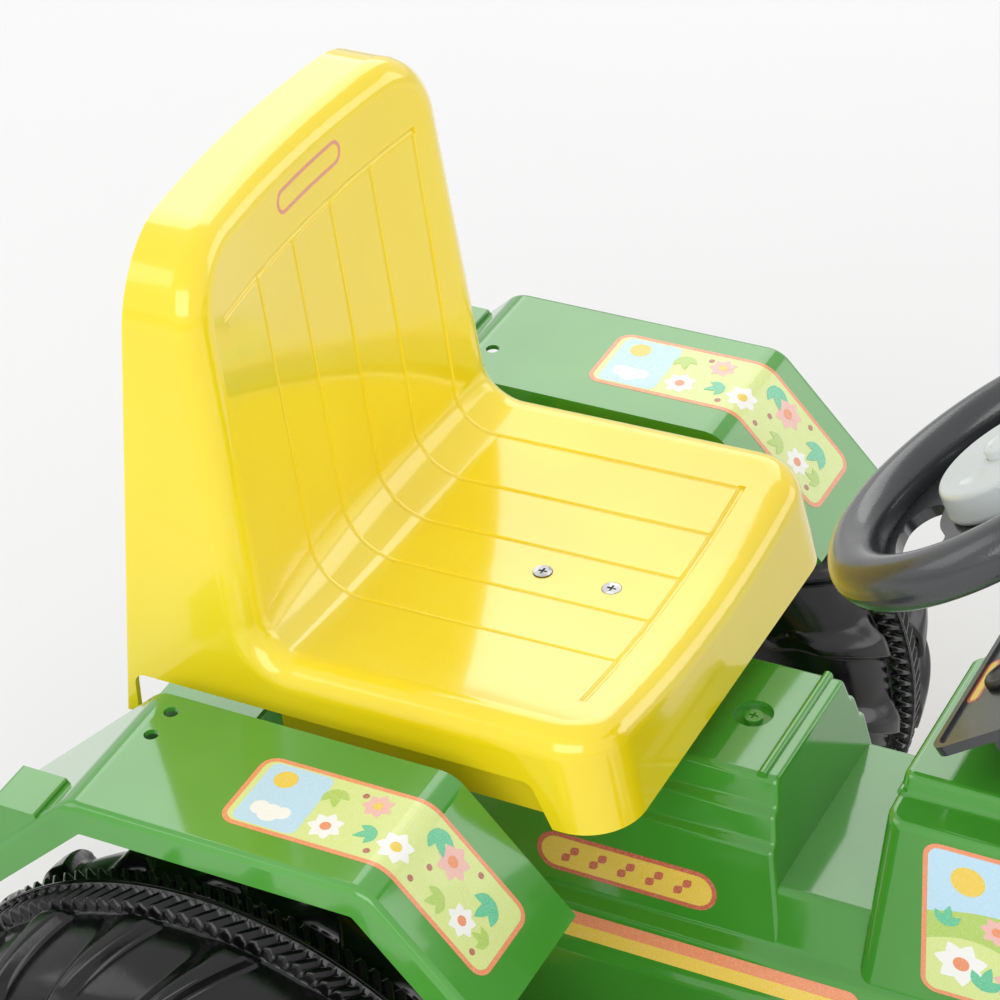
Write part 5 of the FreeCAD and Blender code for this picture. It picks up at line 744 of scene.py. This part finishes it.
def add_sticker(name, place, layers, bends=()):
    """Thin printed shapes on a surface; place turns (along, across, lift) into a point in metres."""
    inks = sorted({ink for _, _, ink in layers})
    mesh = bpy.data.meshes.new(name)
    for ink in inks:
        mesh.materials.append(INKS[ink])
    build = bmesh.new()
    for outline, level, ink in layers:
        add_slip(build, outline, PRINT_LIFT + PRINT_STEP * level, inks.index(ink))
    bmesh.ops.triangulate(build, faces=build.faces)
    for bend in bends:
        everything = build.verts[:] + build.edges[:] + build.faces[:]
        bmesh.ops.bisect_plane(build, geom=everything, plane_co=(bend, 0, 0), plane_no=(1, 0, 0))
    for vert in build.verts:
        vert.co = place(*vert.co)
    bmesh.ops.recalc_face_normals(build, faces=build.faces)
    build.to_mesh(mesh)
    build.free()
    piece = add_object(name, mesh)
    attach(piece, "chassis")


def fender_place(side):
    """Places on the fender's top, round its front crease and down its front slope."""
    tangent = FENDER_CREASE_R * math.tan(FENDER_FALL / 2)
    straight = FENDER_CREASE_X - tangent - FENDER_PRINT_REAR_X
    arc = FENDER_CREASE_R * FENDER_FALL

    def place(along, across, lift):
        run = along + FENDER_PRINT_LENGTH / 2
        bent = min(max(run - straight, 0.0), arc) / FENDER_CREASE_R
        past = max(run - straight - arc, 0.0)
        radius = FENDER_CREASE_R + lift
        x = FENDER_PRINT_REAR_X + min(run, straight) + radius * math.sin(bent) + past * math.cos(bent)
        z = FENDER_TOP_Z - FENDER_CREASE_R + radius * math.cos(bent) - past * math.sin(bent)
        return at(x, side * FENDER_PRINT_Y - across, z)

    start = straight - FENDER_PRINT_LENGTH / 2
    bends = [start + arc * step / CREASE_STEPS for step in range(CREASE_STEPS + 1)]
    return place, bends


def wall_place(wall, side, middle):
    """Places on a lengthwise body wall round a middle (x, z); across runs up the wall."""
    (foot_half, foot_z), (top_half, top_z) = wall
    up = Vector((0, side * (top_half - foot_half), top_z - foot_z)).normalized()
    out = Vector((0, side * up.z, -side * up.y))
    middle_half = foot_half + (top_half - foot_half) * (middle[1] - foot_z) / (top_z - foot_z)

    def place(along, across, lift):
        spot = Vector((middle[0] + along, side * middle_half, middle[1])) + up * across + out * lift
        return at(*spot)

    return place


def fender_print():
    """Meadow, sky and a loose row of flowers."""
    width, height = FENDER_PRINT_LENGTH, FENDER_PRINT_WIDTH
    inner_width, inner_height = width - 2 * PRINT_BORDER, height - 2 * PRINT_BORDER
    sky_width, sky_height = inner_width * FENDER_SKY_SHARES[0], inner_height * FENDER_SKY_SHARES[1]
    back = inner_width * FENDER_SKY_BACK_SHARE
    sky = [(x - back, y) for x, y in rounded_box(sky_width, sky_height, PRINT_CORNER_R / 2)]
    layers = sheet_layers(width, height, PRINT_CORNER_R, "orange", "meadow")
    layers.append((sky, FAR_LEVEL, "sky"))
    layers.append((disc(*FENDER_SUN), SUN_LEVEL, "gold"))
    layers += cloud(*FENDER_CLOUD)
    layers += garden(FENDER_FLOWERS, FENDER_SPRIGS)
    layers += [(disc(x, y, FENDER_DOT_R), MOTIF_LEVEL, "brown") for x, y in FENDER_DOTS]
    return layers


def hood_print():
    """Sky over two hills with large flowers."""
    width, height = HOOD_PRINT_SIZE
    inner = (width - 2 * PRINT_BORDER, height - 2 * PRINT_BORDER)
    layers = sheet_layers(width, height, PRINT_CORNER_R, "orange", "sky")
    layers.append((hill(*inner, *HOOD_FAR_HILL), FAR_LEVEL, "lime"))
    layers.append((hill(*inner, *HOOD_NEAR_HILL), NEAR_LEVEL, "meadow"))
    layers.append((disc(*HOOD_SUN), MOTIF_LEVEL, "gold"))
    layers += cloud(*HOOD_CLOUD)
    layers += garden(HOOD_FLOWERS, HOOD_SPRIGS)
    return layers


def pedestal_print():
    """A long rounded plate with a row of plain leaf pairs."""
    width, height = PEDESTAL_PRINT_SIZE
    layers = sheet_layers(width, height, height / 2 - EDGE_SHY, "red", "gold")
    for index in range(LEAF_PAIRS):
        x = (index - (LEAF_PAIRS - 1) / 2) * width / LEAF_PAIR_PITCHES
        for turn in LEAF_PAIR_TURNS:
            layers.append((leaf(x, 0, *LEAF_PAIR_SIZE, turn), MOTIF_LEVEL, "red"))
    return layers


def stripe_layers():
    """Two plain stripes, the upper one printed over half of the lower."""
    length = STRIPE_FRONT_X - STRIPE_REAR_X
    sheet = rounded_box(length, STRIPE_HEIGHT, STRIPE_HEIGHT / 2 - EDGE_SHY)
    end = length / 2 - STRIPE_INSET
    upper = [(x, y) for x, y in sheet if y > STRIPE_SPLIT]
    upper += [(-end, STRIPE_SPLIT), (end, STRIPE_SPLIT)]
    return [(sheet, SHEET_LEVEL, "gold"), (upper, FIELD_LEVEL, "orange")]


def back_place(along, across, lift):
    """Places on the backrest's front face; across runs up."""
    y, z = BACK_PRINT_MIDDLE
    rise = z + across - BACK_Z
    dish = (y + along) ** 2 / (2 * BACK_DISH_R)
    x = BACK_X - rise * math.tan(BACK_LEAN) + dish + lift
    return at(x, y + along, z + across)


def column_point(y, forward, lift):
    """A point in metres, across, along and above the steering wheel's middle plane."""
    up = Vector((-math.sin(STEER_TILT), 0, math.cos(STEER_TILT)))
    ahead = Vector((math.cos(STEER_TILT), 0, math.sin(STEER_TILT)))
    spot = Vector(STEER_CENTRE) + up * lift + ahead * forward
    return at(spot.x, y, spot.z)


def dash_place(along, across, lift):
    """Places for the dash label; across runs forward."""
    y, forward = DASH_PRINT_MIDDLE
    return column_point(y - along, forward + across, lift - DASH_DROP - DASH_SINK)


def turned_cap(name, profile, forward, base, material):
    """A cap turned about the steering column's direction, its profile set on a base height."""
    mesh = bpy.data.meshes.new(name)
    build = bmesh.new()
    turns = [2 * math.pi * step / CAP_STEPS for step in range(CAP_STEPS)]
    rings = []
    for radius, lift in profile:
        ring = []
        for turn in turns:
            spot = column_point(radius * math.cos(turn), forward + radius * math.sin(turn), base + lift)
            ring.append(build.verts.new(spot))
        rings.append(ring)
    for lower, upper in zip(rings, rings[1:]):
        for step in range(CAP_STEPS):
            beside = (step + 1) % CAP_STEPS
            build.faces.new((lower[step], lower[beside], upper[beside], upper[step])).smooth = True
    build.faces.new(rings[0])
    build.faces.new(rings[-1])
    bmesh.ops.recalc_face_normals(build, faces=build.faces)
    build.to_mesh(mesh)
    build.free()
    mesh.materials.append(material)
    return add_object(name, mesh)


def add_caps():
    """Domed caps with a raised ring, in place of the plain solids of the dash plug and the horn button."""
    plug = turned_cap("dash_plug_cap", PLUG_PROFILE, PLUG_FORWARD, -DASH_DROP - DASH_SINK, BLACK)
    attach(plug, "chassis")
    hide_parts("dash_plug")
    horn = turned_cap("horn_button_cap", HORN_PROFILE, 0.0, 0.0, PALE_GREY)
    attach(horn, "horn")
    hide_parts("horn_button")


def add_stickers():
    for hand, side in (("right", -1), ("left", 1)):
        place, bends = fender_place(side)
        add_sticker(hand + "_fender_print", place, fender_print(), bends)
        for name, wall, middle, layers in (
            ("_hood_print", HOOD_WALL, HOOD_PRINT_MIDDLE, hood_print()),
            ("_pedestal_print", PEDESTAL_WALL, PEDESTAL_PRINT_MIDDLE, pedestal_print()),
            ("_sill_stripe", STRIPE_WALL, STRIPE_MIDDLE, stripe_layers()),
        ):
            add_sticker(hand + name, wall_place(wall, side, middle), layers)
    width, height = BACK_PRINT_SIZE
    bends = [width * (step / DISH_STEPS - 0.5) for step in range(1, DISH_STEPS)]
    add_sticker("back_print", back_place, ring_layers(width, height), bends)
    width, height = DASH_PRINT_SIZE
    layers = sheet_layers(width, height, height / 2 - EDGE_SHY, "red", "gold", DASH_PRINT_BORDER)
    add_sticker("dash_print", dash_place, layers)


# Camera and studio


def add_camera():
    azimuth = math.radians(CAMERA_AZIMUTH)
    elevation = math.radians(CAMERA_ELEVATION)
    roll = math.radians(CAMERA_ROLL)
    back = Vector((
        math.sin(azimuth) * math.cos(elevation),
        -math.cos(azimuth) * math.cos(elevation),
        math.sin(elevation),
    ))
    right = (-back).cross(Vector((0, 0, 1))).normalized()
    up = right.cross(-back)
    turned_right = right * math.cos(roll) + up * math.sin(roll)
    turned_up = up * math.cos(roll) - right * math.sin(roll)
    data = bpy.data.cameras.new("camera")
    data.lens = CAMERA_LENS
    data.sensor_width = CAMERA_SENSOR
    camera = add_object("camera", data)
    turn = Matrix((turned_right, turned_up, back)).transposed().to_4x4()
    camera.matrix_world = Matrix.Translation(CAMERA_AT) @ turn
    bpy.context.scene.camera = camera


def add_lamp(name, place, size, power):
    data = bpy.data.lights.new(name, "AREA")
    data.shape = "RECTANGLE"
    data.size, data.size_y = size
    data.energy = power
    lamp = add_object(name, data)
    lamp.location = place
    lamp.rotation_euler = (Vector(LAMP_TARGET) - Vector(place)).to_track_quat("-Z", "Y").to_euler()


def add_floor():
    mesh = bpy.data.meshes.new("floor")
    half = FLOOR_SIZE / 2
    corners = [(x * half, y * half, -FLOOR_DROP) for x, y in ((-1, -1), (1, -1), (1, 1), (-1, 1))]
    mesh.from_pydata(corners, [], [(0, 1, 2, 3)])
    floor = add_object("floor", mesh)
    material, tree, shader = new_material("studio_floor")
    deep, pale = (colour(grey, grey, grey) for grey in FLOOR_GREYS)
    feed(tree, shader, {
        "Base Color": ramp(tree, noise(tree, scale=1.5, detail=3.0), (0.2, deep), (0.8, pale)),
        "Roughness": FLOOR_ROUGHNESS,
    })
    mesh.materials.append(material)


def add_world():
    """White surroundings, brighter to the camera and in reflections than as light."""
    world = bpy.data.worlds.new("studio")
    world.use_nodes = True
    bpy.context.scene.world = world
    tree = world.node_tree
    path = add_node(tree, "ShaderNodeLightPath")
    seen = maths(tree, "MAXIMUM", path.outputs["Is Camera Ray"], path.outputs["Is Transmission Ray"])
    seen = maths(tree, "MAXIMUM", seen, path.outputs["Is Glossy Ray"])
    feed(tree, tree.nodes["Background"], {
        "Color": (1.0, 1.0, 1.0, 1.0),
        "Strength": maths(tree, "MULTIPLY_ADD", seen, WORLD_SEEN - WORLD_LIGHT, WORLD_LIGHT),
    })


def add_studio():
    bpy.context.scene.view_settings.view_transform = "Standard"
    add_floor()
    add_world()
    for lamp in LAMPS:
        add_lamp(*lamp)


paint_nodes()
add_tyres()
add_stickers()
add_caps()
add_camera()
add_studio()
